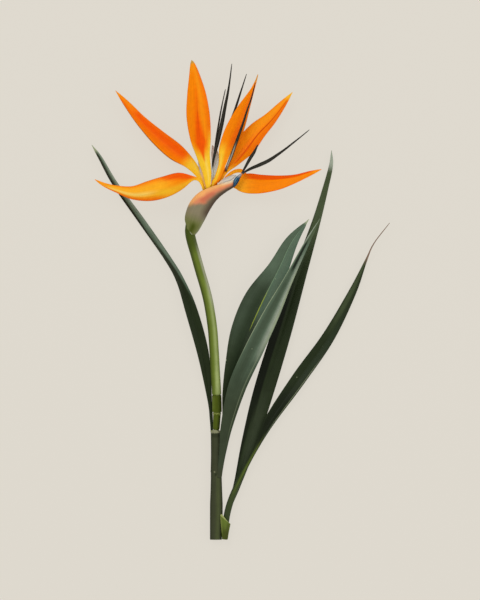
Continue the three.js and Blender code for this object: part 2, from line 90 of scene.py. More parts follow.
# The flower stalk: its route as y, x, height, and its diameter as y, diameter
STALK = [
  [90, -0.1, 4.4],
  [103, 0.15, 4.5],
  [119, 0.9, 5.2],
  [137, 0.6, 6.4],
  [156, -0.5, 7.8],
  [177.5, -1.7, 9.8],
  [199.5, -3.3, 12.2],
  [222, -6.7, 14.8],
  [237, -10.2, 16.8],
  [252, -14.6, 18.8],
  [267, -18.8, 20.8],
  [282, -23, 22.8],
  [290, -24.4, 23.8],
  [297, -24.2, 24.4],
]
STALK_STEP = 1.5
STALK_SIDES = 40
HALVINGS = 30  # how often the stalk is halved to find a level on it
STALK_GIRTH = [
  [90, 4.6],
  [103.6, 5.2],
  [105, 6.5],
  [118, 7.2],
  [119, 7.8], # the joint that the bract stands on
  [120, 7],
  [136.4, 7],
  [137.2, 8.8],
  [200, 9],
  [267, 9.1],
  [282, 9.3],
  [291, 9.3],
  [297, 8.4],
]

# The bract on the stalk: open at the back
BRACT_FROM = 120.5
BRACT_TO = 136.2
BRACT_RADIUS = 4.5
BRACT_ARC = 150  # degrees each way from the front
BRACT_WALL = (0.6, 0.6, 0.5, 0.3)  # its thickness at its foot, near it, near its rim and there
BRACT_ENDS = 2  # how far near is
BRACT_DRAWN = 0.12  # how far its rim draws in
BRACT_STEPS = 24
BRACT_COLUMNS = 48

# The spathe: x, y, height, width, depth, slant of the section, and how square its left side is.
# Here and in the tables below, a row stops short where the rest of its numbers are 0.
SPATHE = [
  [-24.6, 290.2, 23.8, 10.9, 10.9, 3],
  [-22.2, 295.5, 24.2, 15, 12.6, 1.2],
  [-19.7, 303.5, 24.8, 19, 14.6],
  [-15.5, 313, 25, 20, 15, 0, 0.3],
  [-9.5, 320.5, 25, 18, 14, 0, 0.8],
  [-1.5, 326.5, 25, 13.2, 12, 0, 1],
  [7, 331, 25, 9.4, 9.4, 0, 1],
  [14.5, 334.6, 25, 7.4, 6.4, 0, 0.8],
  [19.4, 337, 25, 3.4, 3],
  [21.2, 337.8, 25, 0.9, 1],
]
SQUARE_FLAT = 0.5  # how flat its top and underside get where it is square
SQUARE_RISE = 0.2  # and how much deeper its left side is there than its middle
# The slit along its top edge, in the same numbers
SLIT = [
  [-14, 329.2, 25, 1.5, 2],
  [-12.4, 330, 25, 8.4, 6.2],
  [-9, 331.2, 25, 11.4, 6.8],
  [-1.5, 333.6, 25, 11.4, 6.6],
  [6.5, 336.2, 25, 9.6, 5.2],
  [13, 338.4, 25, 7.4, 3.6],
  [16.4, 339.6, 25, 2, 1.6],
]
SLIT_GROWTH = 0.2  # added to the slit all round

# A blade's rows run from its foot to its tip: x, y, height of its rib, width, roll in degrees
# (right edge up), height of its edges over its rib, and slant (right edge forward).
# A blade's thick holds its thickness at even steps from its foot to its tip, and its keel says
# how far its rib lies to the right of its middle.
SEPALS = {
  "sepal_left_low": {
    "thick": [1.7, 1.7, 1.5, 1.3, 1.1, 0.9],
    "rows": [
      [-11.5, 329, 26, 1.8],
      [-13.1, 334, 26.9, 2],
      [-16.2, 338.6, 27.6, 2.6],
      [-22, 340, 28.6, 5, 4, -0.5],
      [-33, 337.4, 30.5, 16.2, 10, -2.2],
      [-47.5, 331.4, 32.5, 20.2, 12, -3.2],
      [-62.5, 327.4, 33.5, 19.2, 12, -3.2],
      [-78, 326.2, 33, 12.8, 8, -2.4],
      [-93, 329.9, 31, 6.8, 4, -1.2],
      [-104.5, 334, 28.5, 3.8, 0, -0.3],
      [-113.5, 339, 26.5, 0.8],
    ],
  },
  "sepal_left": {
    "thick": [2, 1.8, 1.4, 1.2, 1, 0.8],
    "rows": [
      [-9.3, 328.8, 23.2, 2.8],
      [-11.2, 334, 22.9, 4.4],
      [-15.5, 343, 22.4, 6, 0, -0.4],
      [-24.6, 354.5, 21.4, 10.6, -4, -1.4],
      [-38.2, 365.8, 20, 16.8, -8, -2.8],
      [-53.7, 378.9, 18, 15.2, -10, -3],
      [-70, 394.5, 16, 10.5, -8, -2.2],
      [-83, 409.5, 14, 6.4, -4, -1.2],
      [-94.5, 423, 12.5, 0.8],
    ],
  },
  "sepal_centre": {
    "thick": [2.1, 1.8, 1.4, 1.2, 1, 0.8],
    "rows": [
      [-7.1, 329, 26.7, 3.4],
      [-7.3, 334, 27.2, 4.9],
      [-8.2, 344.5, 28, 7.9, 2, -0.8],
      [-11.9, 361, 29.8, 12.9, 4, -2],
      [-14.6, 377, 32.2, 19.5, 6, -3.2],
      [-17, 397.5, 35.6, 22.2, 8, -3.8],
      [-18.2, 417.5, 39, 18, 6, -3],
      [-19.9, 435, 41.8, 10.5, 3, -1.8],
      [-21.5, 445.5, 43.4, 5, 0, -0.8],
      [-22.5, 450, 44, 0.8],
    ],
  },
  "sepal_right_inner": {
    "thick": [1.9, 1.7, 1.4, 1.2, 1, 0.8],
    "rows": [
      [-4.2, 330.2, 24, 3.6],
      [-1.8, 335.5, 24, 4.8],
      [1.5, 340.5, 24.3, 6, 0, 0.2],
      [6, 353.5, 25.2, 7, 0, 0.8],
      [9, 367, 26.2, 12.5, -3, 1.6],
      [14, 378, 27.2, 16.5, -5, 2.3],
      [19, 389.5, 28.2, 16.5, -5, 2.5],
      [26, 405.5, 29.4, 11.5, -3, 1.8],
      [33.5, 421, 30.4, 4.6, 0, 0.8],
      [37.5, 431, 30.8, 1.8, 0, 0.2],
      [39.5, 437.5, 31, 0.8],
    ],
  },
  "sepal_right": {
    "keel": 0.35,
    "thick": [1.5, 1.4, 1.3, 1.2, 1, 0.8],
    "rows": [
      [3.2, 334.2, 23.2, 2.2],
      [4.5, 338.5, 22.3, 3.2],
      [6.6, 343, 21.5, 4],
      [10.4, 348.4, 21, 5, 0, -0.4],
      [18.5, 357.5, 20.6, 10.5, 4, -1.5],
      [27, 370.5, 20, 19.8, 8, -3],
      [38, 384.5, 19, 17.8, 8, -3],
      [50.6, 396.4, 17, 12.6, 6, -2.2],
      [62.2, 409.7, 14.6, 7.2, 3, -1.2],
      [72, 421.5, 12.6, 0.8],
    ],
  },
  "sepal_right_low": {
    "keel": -0.35,
    "thick": [1.1, 1.2, 1.2, 1.1, 1, 0.8],
    "rows": [
      [15.4, 332.6, 18.6, 2],
      [18.9, 334.2, 18.6, 10.6, 0, 0.6],
      [24, 335.2, 19, 16.2, 0, 1.2],
      [31.5, 335.6, 20, 19, -6, 2],
      [43, 335.2, 21.8, 17.6, -8, 2.4],
      [59, 336.4, 24, 13.4, -6, 2],
      [74.5, 339.8, 26, 8, -3, 1],
      [88.8, 344.9, 27.6, 4.4, 0, 0.3],
      [99, 348.5, 28.6, 0.8],
    ],
    "claw": {
      "thick": [1.1, 1.2, 1.1, 1],
      "rows": [
        [8, 334.8, 24, 1.8],
        [8.9, 339.6, 23.1, 2.4],
        [12.6, 343.6, 21.6, 3],
        [18, 346.8, 20.4, 3.4],
        [24, 347, 19.6, 3.8],
        [28.8, 341.5, 19.3, 4.2],
      ],
    },
  },
}

DARK_THICK = [0.9, 1, 0.9, 0.7]
DARK_PETALS = {
  "petal_dark_centre": [
    [-3.7, 341, 25.4, 1],
    [-3.5, 348, 26, 1.5],
    [-2, 359, 27.2, 2.3, 0, 0.2],
    [1, 370.5, 28.8, 3, 0, 0.4],
    [3.5, 381.5, 30.4, 3.5, 0, 0.6],
    [6, 393, 32, 3.6, 0, 0.6],
    [8.5, 406, 33.8, 3, 0, 0.4],
    [11.5, 421, 35.6, 2.1, 0, 0.2],
    [13.5, 434.5, 37, 1.3],
    [15, 447, 38, 0.8],
  ],
  "petal_dark_short": [
    [-1.4, 365.5, 26.9, 1.1],
    [0.4, 378, 27.4, 1.5],
    [2.3, 389, 28.2, 1.6],
    [4.6, 402.5, 29, 1.4],
    [7, 414.5, 29.4, 1],
    [9, 423.5, 29.6, 0.8],
  ],
  "petal_dark_back": [
    [0.4, 332.4, 22.7, 1.1],
    [1.2, 337, 22, 1.3],
    [2.1, 343, 21.2, 1.4],
    [3.3, 352.5, 20.3, 1.7],
    [4.5, 366.5, 20, 1.9, 0, 0.1],
    [8, 380, 19.8, 2.1, 0, 0.3],
    [12, 390, 19.6, 2.3, 0, 0.3],
    [16.5, 400.5, 19.2, 2.3, 0, 0.3],
    [20, 411, 18.6, 2.1, 0, 0.2],
    [23, 420.5, 18, 1.7],
    [25.6, 428.5, 17.4, 1.2],
    [28.8, 438.5, 16.6, 0.8],
  ],
  "petal_dark_front": [
    [9.2, 346.4, 22.8, 1.3],
    [10, 349.5, 23.6, 2],
    [12.1, 355, 25.7, 2.4, 0, 0.2],
    [15, 362, 28, 2.8, 0, 0.5],
    [18, 370.5, 30.2, 2.8, 0, 0.6],
    [22, 381.5, 32.4, 2.6, 0, 0.5],
    [26, 393, 34, 2.1, 0, 0.3],
    [29.5, 404, 35, 1.7],
    [33.5, 415.5, 35.6, 1.3],
    [37, 429.5, 35.8, 0.8],
  ],
  "petal_dark_upright": [
    [24.3, 344.8, 29.5, 1.5],
    [26, 347.6, 29.8, 1.9],
    [29, 353, 30.2, 2.6, 0, 0.2],
    [32.3, 358.9, 30.4, 3.1, 0, 0.4],
    [35.5, 363.8, 30, 2.8, 0, 0.3],
    [37.9, 368.4, 29.4, 1.8],
    [39.4, 371.6, 28.8, 0.8],
  ],
  "petal_dark_long": [
    [24.9, 344.2, 28.5, 1.4],
    [28.5, 346.9, 28.2, 2.1],
    [33.5, 349.5, 28.8, 2.8, 0, 0.2],
    [41, 352.6, 29.6, 3.4, 0, 0.5],
    [49.5, 356.6, 30.6, 3.3, 0, 0.5],
    [57.4, 361.8, 31.8, 2.6, 0, 0.3],
    [64.8, 367.1, 33, 2, 0, 0.2],
    [72.3, 373, 34, 1.6],
    [79.9, 379, 34.6, 1.1],
    [87.6, 385.3, 35, 0.8],
  ],
}

BLUE_THICK = [1, 1.7, 1.6, 1]
BLUE_ARROW = [
  [17, 331.8, 28.3, 0.9],
  [18, 334.6, 28.7, 3.5, 0, -0.4],
  [19.1, 337.6, 28.8, 5, 0, -0.8],
  [21, 340.8, 28.8, 3.8, 0, -0.5],
  [24.1, 344.2, 28.95, 1.6],
]

PALE_THICK = [0.7, 0.7]
PALE_PETALS = {
  "petal_pale_left": [
    [-9, 331.4, 24.8, 2],
    [-10.9, 339, 24.8, 3.2, 0, 0.2],
    [-12.5, 345, 24.9, 3.8, 0, 0.3],
    [-14.5, 350.5, 25, 3.2, 0, 0.2],
    [-16.5, 355.5, 25, 0.8],
  ],
  "petal_pale_middle": [
    [-3.6, 332, 22.4, 2.2],
    [-1.6, 341.5, 22.3, 5, 0, 0.2],
    [-0.5, 349.5, 22.4, 6.4, 0, 0.4],
    [-0.5, 357.5, 22.5, 7, 0, 0.5],
    [-1.2, 364.5, 22.6, 6.4, 0, 0.3],
    [-3.4, 371.4, 22.8, 0.8],
  ],
  "petal_pale_mouth": [
    [1.8, 333.2, 26.9, 1.4],
    [5, 336, 26.4, 3.4, 0, 0.1],
    [10, 338.6, 25.9, 4.6, 0, 0.3],
    [14.5, 340.8, 25.8, 4.2, 0, 0.3],
    [19.2, 343, 26, 0.8],
  ],
}

LEAVES = {
  "leaf_left": {
    "thick": [1.5, 2, 2, 1.5, 1.2, 1.1, 1, 0.8],
    "rows": [
      [-3.8, 99.2, 2.5, 2.2],
      [-4.4, 113, 2.5, 3],
      [-5.9, 131, 2.5, 4.2, 0, 0.1],
      [-11.7, 173.5, 4.2, 10.8, 0, 2.2],
      [-22.9, 215, 5, 11.6, 0, 3],
      [-33.5, 244, 4.2, 7.8, 0, 2.2],
      [-45.8, 265.5, 2.8, 6.4, 0, 1.4],
      [-70.2, 300.5, 0.55, 6.4, 0, 1.4],
      [-95, 335.2, 2.2, 5.2, 0, 1.2],
      [-108.9, 359.6, 5, 3.8, 0, 0.8],
      [-117, 372, 7.6, 0.8],
    ],
  },
  "leaf_broad": {
    "keel": 0.06,
    "thick": [2, 2, 1.5, 1.2, 1.1, 1, 1, 0.8],
    "rows": [
      [5.1, 92, 2, 2.2],
      [5.7, 104, 2.1, 2.6, 0, 0.1],
      [7.8, 115.5, 2.8, 3.8, 0, 0.4],
      [11.5, 137.5, 6.6, 11, 0, 1.4],
      [18.5, 163, 9.4, 20, 3, 2.4],
      [29.5, 194.5, 10.8, 31.5, 4, 2.8],
      [43, 225, 11.2, 33, 3, 2.8],
      [58.5, 255, 10.8, 20, 0, 2.2],
      [71.2, 281, 9.8, 12.2, -4, 1.2],
      [87.5, 302, 9, 0.8],
    ],
  },
  "leaf_folded": {
    "keel": 0.3,
    "thick": [4.2, 3.6, 2.6, 1.6, 1.3, 1.1, 1, 0.8],
    "rows": [
      [2.3, 58.6, 6, 6.2],
      [3.6, 68, 6.2, 6.4],
      [6.2, 83, 6.8, 7, 0, 0.3],
      [10.5, 109, 8, 11.5, 0, 1.6],
      [20.5, 145, 12.6, 17, 4, 3.2],
      [36, 178.5, 16, 18, 8, 3.8],
      [52.5, 212, 17.6, 15.5, 10, 3.6],
      [68.8, 245.5, 17.4, 8.8, 8, 2.6],
      [85.3, 279, 15.6, 5, 4, 1],
      [98, 302.5, 14, 0.8],
    ],
  },
  "leaf_tall": {
    "thick": [2.8, 2.4, 1.6, 1.2, 1.1, 1.1, 1, 0.8],
    "rows": [
      [7.8, 2, 2.2, 3.8],
      [10.2, 24, 2.4, 4.2],
      [19.7, 50.7, 2.2, 6.8, 0, 0.2],
      [31.5, 91.7, 3.2, 14.8, 0, 1.4],
      [45.1, 140.1, 4.6, 19.2, 2, 2.6],
      [61.9, 195, 4.4, 18.3, 3, 2.6],
      [78.5, 249.5, 2.8, 13.6, 0, 2],
      [93.9, 297.5, 1, 8.2, 0, 1.2],
      [103.5, 332, 0.5, 5.4, 0, 0.6],
      [108.5, 353, 2.2, 3.8, 0, 0.3],
      [109, 367, 4.4, 0.8],
    ],
  },
  "leaf_right": {
    "thick": [4.4, 4.2, 3.4, 3, 1.5, 1.2, 1, 0.7],
    "rows": [
      [8, 0.3, 6.2, 5],
      [10.4, 23.5, 6.7, 6],
      [15.9, 42, 7.3, 5.8],
      [25.9, 64, 7.8, 4.4],
      [37.3, 85.5, 7.4, 4.2, 0, 0.2],
      [51.2, 113.2, 6.8, 10.4, -6, 0.8],
      [78.4, 152.1, 2.4, 13.6, 0, 2.6],
      [106, 191, 0.55, 12, 0, 2.4],
      [128.5, 233, 2.2, 7.5, 0, 1.6],
      [141.6, 263.5, 5, 2.2, 0, 0.4],
      [149, 279.5, 7.4, 1],
      [163.5, 298.5, 11, 0.8],
    ],
  },
}

LEAF_STEPS = 110

# How deep the grooves along the ribs are
LEAF_CHANNEL = 0.35
SEPAL_CHANNEL = 0.12
DARK_CHANNEL = 0.1
BLUE_CHANNEL = 0.15

SHEATH_THICK = [1.1, 0.9]
CUT_SHEATH = [
  [8.4, 0.4, 10, 5.4, 0, -1.4],
  [8.7, 9, 10.3, 7.4, -3, -2.4, -1.5],
  [9.1, 19.9, 10.8, 10.6, -6, -3.2, -4.2],
]


# ---- Shapes ----

def along(rows, shares):
    """The numbers of a list of rows at shares of its length, on a smooth curve through them."""
    rows = np.array(rows, float)
    last = len(rows) - 1
    place = np.clip(shares, 0, 1) * last
    k = np.minimum(place.astype(int), last - 1)
    f = (place - k)[:, None]
    b = rows[k]
    c = rows[k + 1]
    a = np.where((k > 0)[:, None], rows[np.maximum(k - 1, 0)], 2 * b - c)
    d = np.where((k + 2 <= last)[:, None], rows[np.minimum(k + 2, last)], 2 * c - b)
    bend = 2 * a - 5 * b + 4 * c - d + f * (3 * b - a - 3 * c + d)
    return b + 0.5 * f * (c - a + f * bend)


def padded(rows):
    """Rows of seven numbers each, with 0 where a row stops short."""
    return [list(row) + [0.0] * (7 - len(row)) for row in rows]


def unit(vectors):
    return vectors / np.linalg.norm(vectors, axis=1)[:, None]


def smooth(low, high, values):
    """0 below low and 1 above high, with a smooth rise between them."""
    t = np.clip((values - low) / (high - low), 0, 1)
    return t * t * (3 - 2 * t)


def axes_at(rows, shares, roll=0.0):
    """The axes of each section: forward, side to the right, and up out of the blade."""
    ahead = along(rows, shares + STEP)[:, :3]
    behind = along(rows, shares - STEP)[:, :3]
    forward = unit(ahead - behind)
    side = unit(np.cross(forward, (0, 0, 1)))
    up = np.cross(side, forward)
    turn = np.radians(np.broadcast_to(roll, shares.shape))[:, None]
    side = side * np.cos(turn) + up * np.sin(turn)
    return forward, side, np.cross(side, forward)


def points_from(centre, axes, right, high, ahead=0.0):
    """A grid of points off each section's centre, which never goes under the table."""
    forward, side, up = (axis[:, None, :] for axis in axes)
    shape = np.broadcast_shapes(np.shape(right), np.shape(high), np.shape(ahead))
    right, high, ahead = (np.broadcast_to(v, shape)[..., None] for v in (right, high, ahead))
    points = centre[:, None, :] + side * right + up * high + forward * ahead
    points[..., 2] = np.maximum(points[..., 2], 0)
    return points


def shares_of_length(centre):
    """How far along its own length each section lies, from 0 to 1."""
    steps = np.linalg.norm(np.diff(centre, axis=0), axis=1)
    travelled = np.concatenate(([0.0], np.cumsum(steps)))
    return travelled / travelled[-1]


def shift_ends(centre, forward, grow):
    """The centres with both ends moved outward."""
    centre = centre.copy()
    centre[0] -= forward[0] * grow
    centre[-1] += forward[-1] * grow
    return centre


def round_angles(sides):
    """The angles of a round section, from its left side over its top."""
    return (np.arange(sides) + 0.5) / sides * 2 * math.pi - math.pi / 2


def link(name, data):
    """A new object in the scene."""
    made = bpy.data.objects.new(name, data)
    bpy.context.scene.collection.objects.link(made)
    return made


def closed_rings(centre, axes, upper, lower):
    """Rings of an upper row from left to right and a lower row back."""
    upper = points_from(centre, axes, *upper)
    lower = points_from(centre, axes, *lower)
    return np.concatenate((upper, lower[:, ::-1]), axis=1)


def loft(name, rings, across, share, blade_edges=True, cut_ends=(False, False)):
    """A closed mesh through rings of points. A ring holds its upper row from left to right and
    then its lower row back. The UV map called place keeps where each face lies."""
    sections, count = rings.shape[:2]
    half = count // 2
    across = np.broadcast_to(across, (sections, count))
    faces = []
    places = []

    def face(corners, added=0.0, fixed=None):
        faces.append([k * count + i % count for k, i in corners])
        for k, i in corners:
            along_it = share[k] + added if fixed is None else fixed
            places.append((0.5 + 0.5 * across[k, i % count], along_it))

    for k in range(sections - 1):
        for i in range(count):
            under = half <= i < count - 1 if blade_edges else i >= half
            corners = ((k, i), (k, i + 1), (k + 1, i + 1), (k + 1, i))
            face(corners, UNDER if under else 0.0)
    last = sections - 1
    for i in range(half - 1):
        low = count - 1 - i
        foot = ((0, i), (0, low), (0, low - 1), (0, i + 1))
        head = ((last, i), (last, i + 1), (last, low - 1), (last, low))
        face(foot, fixed=CUT_END if cut_ends[0] else None)
        face(head, fixed=CUT_END if cut_ends[1] else None)
    mesh = bpy.data.meshes.new(name)
    mesh.from_pydata(((rings.reshape(-1, 3) - MIDDLE) * MM).tolist(), [], faces)
    layer = mesh.uv_layers.new(name="place")
    layer.data.foreach_set("uv", np.array(places, np.float32).ravel())
    return link(name, mesh)


def combine(piece, tool, operation):
    """piece joined with tool, or cut by it. The tool isn't kept."""
    change = piece.modifiers.new("combine", "BOOLEAN")
    change.operation = operation
    change.solver = "EXACT"
    change.object = tool
    changed = piece.evaluated_get(bpy.context.evaluated_depsgraph_get())
    mesh = bpy.data.meshes.new_from_object(changed)
    piece.modifiers.clear()
    spent = (piece.data, tool.data)
    piece.data = mesh
    bpy.data.objects.remove(tool)
    for old in spent:
        bpy.data.meshes.remove(old)
    return piece


def blade(name, rows, thick, keel=0.0, steps=72, columns=16, channel=0.0, grow=0.0, span=1.0):
    """A leaf, sepal or petal: its edges thin out, and channel sinks a groove along its rib.
    grow swells it to cut its socket. span is where its tip lies along the whole piece."""
    spread = np.linspace(-1, 1, columns + 1)
    spread = (1 - EDGE_CROWD) * spread + EDGE_CROWD * np.sin(spread * math.pi / 2)
    across = spread + keel * (1 - np.abs(spread))
    shares = np.linspace(0, 1, steps + 1)
    rows = padded(rows)
    table = along(rows, shares)
    width, roll, fold, slant = (table[:, [i]] for i in (3, 4, 5, 6))
    axes = axes_at(rows, shares, roll[:, 0])
    centre = shift_ends(table[:, :3], axes[0], grow)
    full = along([[value] for value in thick], shares)
    reach = np.maximum(width, TIP) / 2 + grow
    if not grow:
        reach = reach * (1 - TIP_LOSS * smooth(TIP_FROM, 1.0, shares)[:, None])
    from_rib = np.where(across < keel, (keel - across) / (1 + keel), (across - keel) / (1 - keel))
    body = np.maximum(THIN, full * np.sqrt(1 - EDGE_LOSS * across**2)) / 2 + grow
    groove = np.exp(-(((across - keel) * reach / (GROOVE + GROOVE_GROWTH * reach)) ** 2))
    sunk = channel * groove * smooth(GROOVE_FROM, GROOVE_FULL, reach)
    lift = fold * from_rib**CURL
    right, ahead = across * reach, across * slant
    upper = (right, lift + body - sunk, ahead)
    lower = (right, lift - body - RIB_DEPTH * sunk, ahead)
    rings = closed_rings(centre, axes, upper, lower)
    share = shares_of_length(centre) * span
    return loft(name, rings, np.concatenate((across, across[::-1])), share)


def pod(name, rows, sides=64, steps=96, grow=0.0):
    """A round body whose left side is as square as its last number says."""
    shares = np.linspace(0, 1, steps + 1)
    rows = padded(rows)
    table = along(rows, shares)
    width, depth, slant, square = (table[:, [i]] for i in (3, 4, 5, 6))
    angle = round_angles(sides)
    right = np.sin(angle)
    flat = np.where(right < 0, 1 - SQUARE_FLAT * square, 1.0)
    high = np.sign(np.cos(angle)) * np.abs(np.cos(angle)) ** flat
    rise = (depth / 2 + grow) * high * (1 - SQUARE_RISE * square * right)
    axes = axes_at(rows, shares)
    centre = table[:, :3]
    rings = points_from(centre, axes, right * (width / 2 + grow), rise, -slant * right)
    return loft(name, rings, right, shares_of_length(centre), blade_edges=False)


def stalk_at(levels):
    """The middle of the flower stalk at each y, with the axes there."""
    low = np.zeros(len(levels))
    high = np.ones(len(levels))
    for _ in range(HALVINGS):
        middle = (low + high) / 2
        below = along(STALK, middle)[:, 0] < levels
        low = np.where(below, middle, low)
        high = np.where(below, high, middle)
    route = [[x, y, z] for y, x, z in STALK]
    return along(route, low), axes_at(route, low)


def flower_stalk(name="flower_stalk", grow=0.0):
    """The round stalk, or with grow the socket that it stands in."""
    girth = np.array(STALK_GIRTH, float)
    even = np.arange(STALK[0][0], STALK[-1][0] + STALK_STEP / 2, STALK_STEP)
    levels = np.unique(np.concatenate((even, girth[:, 0])))
    radius = (np.interp(levels, *girth.T) / 2)[:, None] + grow
    angle = round_angles(STALK_SIDES)
    centre, axes = stalk_at(levels)
    centre = shift_ends(centre, axes[0], grow)
    rings = points_from(centre, axes, radius * np.sin(angle), radius * np.cos(angle))
    return loft(name, rings, np.sin(angle), shares_of_length(centre), blade_edges=False)


def lower_stem():
    """The stem that clasps the stalk: it stands on a narrow flat and is cut at its foot."""
    table = np.array(STEM, float)
    even = np.arange(0.0, table[-2, 0] - STEM_STEP, STEM_STEP)
    levels = np.unique(np.concatenate((even, table[:, 0])))
    width = np.interp(levels, table[:, 0], table[:, 2])[:, None]
    middle = np.interp(levels, table[:, 0], table[:, 1])[:, None]
    angle = round_angles(STEM_SIDES)
    rings = np.zeros((len(levels), STEM_SIDES, 3))
    rings[..., 0] = middle + width / 2 * np.sin(angle)
    rings[..., 1] = levels[:, None]
    rings[..., 2] = np.maximum(STEM_AXIS + STEM_HEIGHT / 2 * np.cos(angle), 0)
    torn = np.cos(3 * angle + TORN_TURN) - TORN_SIDES * np.sin(angle) ** 2
    rings[-1, :, 1] += TORN * torn
    piece = loft("lower_stem", rings, np.sin(angle), levels / levels[-1], blade_edges=False,
                 cut_ends=(True, True))
    combine(piece, flower_stalk("socket", GAP), "DIFFERENCE")
    for name in ("leaf_left", "leaf_folded", "leaf_broad"):
        socket = blade("socket", **LEAVES[name], steps=LEAF_STEPS, columns=8, grow=GAP)
        combine(piece, socket, "DIFFERENCE")
    return piece


def stalk_bract():
    """The short bract that clasps the stalk, open at its back, with a thin rim."""
    levels = np.linspace(BRACT_FROM, BRACT_TO, BRACT_STEPS + 1)
    across = np.linspace(-1, 1, BRACT_COLUMNS + 1)
    turn = np.radians(BRACT_ARC) * across
    centre, axes = stalk_at(levels)
    near = (BRACT_FROM, BRACT_FROM + BRACT_ENDS, BRACT_TO - BRACT_ENDS, BRACT_TO)
    wall = np.interp(levels, near, BRACT_WALL)[:, None]
    outer = BRACT_RADIUS - np.interp(levels, near[2:], (0.0, BRACT_DRAWN))[:, None]
    inner = outer - wall
    sine, cosine = np.sin(turn), np.cos(turn)
    upper, lower = ((radius * sine, radius * cosine) for radius in (outer, inner))
    rings = closed_rings(centre, axes, upper, lower)
    across = np.concatenate((across, across[::-1]))
    return loft("stalk_bract", rings, across, shares_of_length(centre))


def spathe():
    piece = pod("spathe", SPATHE)
    combine(piece, pod("slit", SLIT, sides=40, steps=48, grow=SLIT_GROWTH), "DIFFERENCE")
    return combine(piece, flower_stalk("socket", GAP), "DIFFERENCE")


def sepal(name, claw=None, **shape):
    """A sepal, joined with its claw where that has a table of its own."""
    piece = blade(name, **shape, columns=20, channel=SEPAL_CHANNEL)
    if claw:
        combine(piece, blade("claw", **claw, steps=40, columns=8, span=CLAW_SPAN), "UNION")
    return piece


def leaf(name):
    return blade(name, **LEAVES[name], steps=LEAF_STEPS, columns=24, channel=LEAF_CHANNEL)


# ---- Materials ----

def linear(colour):
    """A colour of 0 to 255 steps as the shader counts it."""
    shares = [step / 255 for step in colour]
    return [s / 12.92 if s <= 0.04045 else ((s + 0.055) / 1.055) ** 2.4 for s in shares] + [1.0]


def add(tree, kind, inputs=None, **settings):
    """A new node. inputs maps a socket to a number, a colour or another node's output."""
    made = tree.nodes.new(kind)
    for setting, value in settings.items():
        setattr(made, setting, value)
    for socket, value in (inputs or {}).items():
        if isinstance(value, bpy.types.NodeSocket):
            tree.links.new(value, made.inputs[socket])
        else:
            made.inputs[socket].default_value = value
    return made


def maths(tree, operation, *values):
    return add(tree, "ShaderNodeMath", dict(enumerate(values)), operation=operation).outputs[0]


def ramp(tree, value, low, high, start=0.0, stop=1.0, kind="SMOOTHSTEP"):
    """start where value is at low, stop where it is at high."""
    inputs = {"Value": value, "From Min": low, "From Max": high, "To Min": start, "To Max": stop}
    return add(tree, "ShaderNodeMapRange", inputs, interpolation_type=kind).outputs[0]


def mix(tree, share, first, second, blend="MIX"):
    """Two colours mixed."""
    inputs = {0: share, 6: first, 7: second}
    return add(tree, "ShaderNodeMix", inputs, data_type="RGBA", blend_type=blend).outputs[2]


def new_group(name, inputs, outputs):
    """A shader node group with named sockets: its tree, its input node's outputs, its output."""
    tree = bpy.data.node_groups.new(name, "ShaderNodeTree")
    for socket in inputs:
        tree.interface.new_socket(socket, in_out="INPUT", socket_type="NodeSocketFloat")
    for socket in outputs:
        tree.interface.new_socket(socket, in_out="OUTPUT", socket_type="NodeSocketFloat")
    given = tree.nodes.new("NodeGroupInput").outputs
    return tree, given, tree.nodes.new("NodeGroupOutput").inputs


NOISE_DETAIL = 3.0
NOISE_RANGE = (0.3, 0.7)  # where nearly all of a noise's values lie
ROUGH_RANGE = (-0.05, 0.07)  # how far the roughness falls and rises with the blotches
SPECK_BLUR = 1.6  # how much wider than its core a speck is
SPECK_CHANCE = 0.72  # the share of the places for specks that stay empty
REFRACTION = 1.42
DIMPLE = 0.4  # how deep the blotches go against the fibres


def make_place_group():
    """Where a point lies on its piece: across from -1 to 1 and along from 0 to 1."""
    tree, _, result = new_group("place_on_piece", (), ("Across", "Along", "Underside", "Cut End"))
    place = add(tree, "ShaderNodeUVMap", uv_map="place").outputs[0]
    parts = add(tree, "ShaderNodeSeparateXYZ", {0: place}).outputs
    cut = maths(tree, "GREATER_THAN", parts[1], CUT_LIMIT)
    under = maths(tree, "SUBTRACT", maths(tree, "GREATER_THAN", parts[1], UNDER_LIMIT), cut)
    along_it = maths(tree, "SUBTRACT", parts[1], maths(tree, "MULTIPLY", under, UNDER))
    tree.links.new(maths(tree, "MULTIPLY_ADD", parts[0], 2.0, -1.0), result["Across"])
    tree.links.new(along_it, result["Along"])
    tree.links.new(under, result["Underside"])
    tree.links.new(cut, result["Cut End"])
    return tree


def make_fibre_group():
    """Fine lines that run along a piece: Lines across it, broken Runs times along it."""
    names = ("Across", "Along", "Lines", "Runs", "Seed")
    tree, given, result = new_group("fibres", names, ("Fibre",))
    x = maths(tree, "MULTIPLY", given["Across"], given["Lines"])
    y = maths(tree, "MULTIPLY", given["Along"], given["Runs"])
    spot = add(tree, "ShaderNodeCombineXYZ", {0: x, 1: y, 2: given["Seed"]}).outputs[0]
    inputs = {"Vector": spot, "Scale": 1.0, "Detail": NOISE_DETAIL}
    noise = add(tree, "ShaderNodeTexNoise", inputs)
    tree.links.new(noise.outputs[0], result["Fibre"])
    return tree


def make_mottle_group():
    """Soft blotches, so many to the metre."""
    tree, given, result = new_group("mottle", ("Blotches", "Detail"), ("Mottle",))
    spot = add(tree, "ShaderNodeTexCoord").outputs["Object"]
    inputs = {"Vector": spot, "Scale": given["Blotches"], "Detail": given["Detail"]}
    noise = add(tree, "ShaderNodeTexNoise", inputs)
    tree.links.new(noise.outputs[0], result["Mottle"])
    return tree


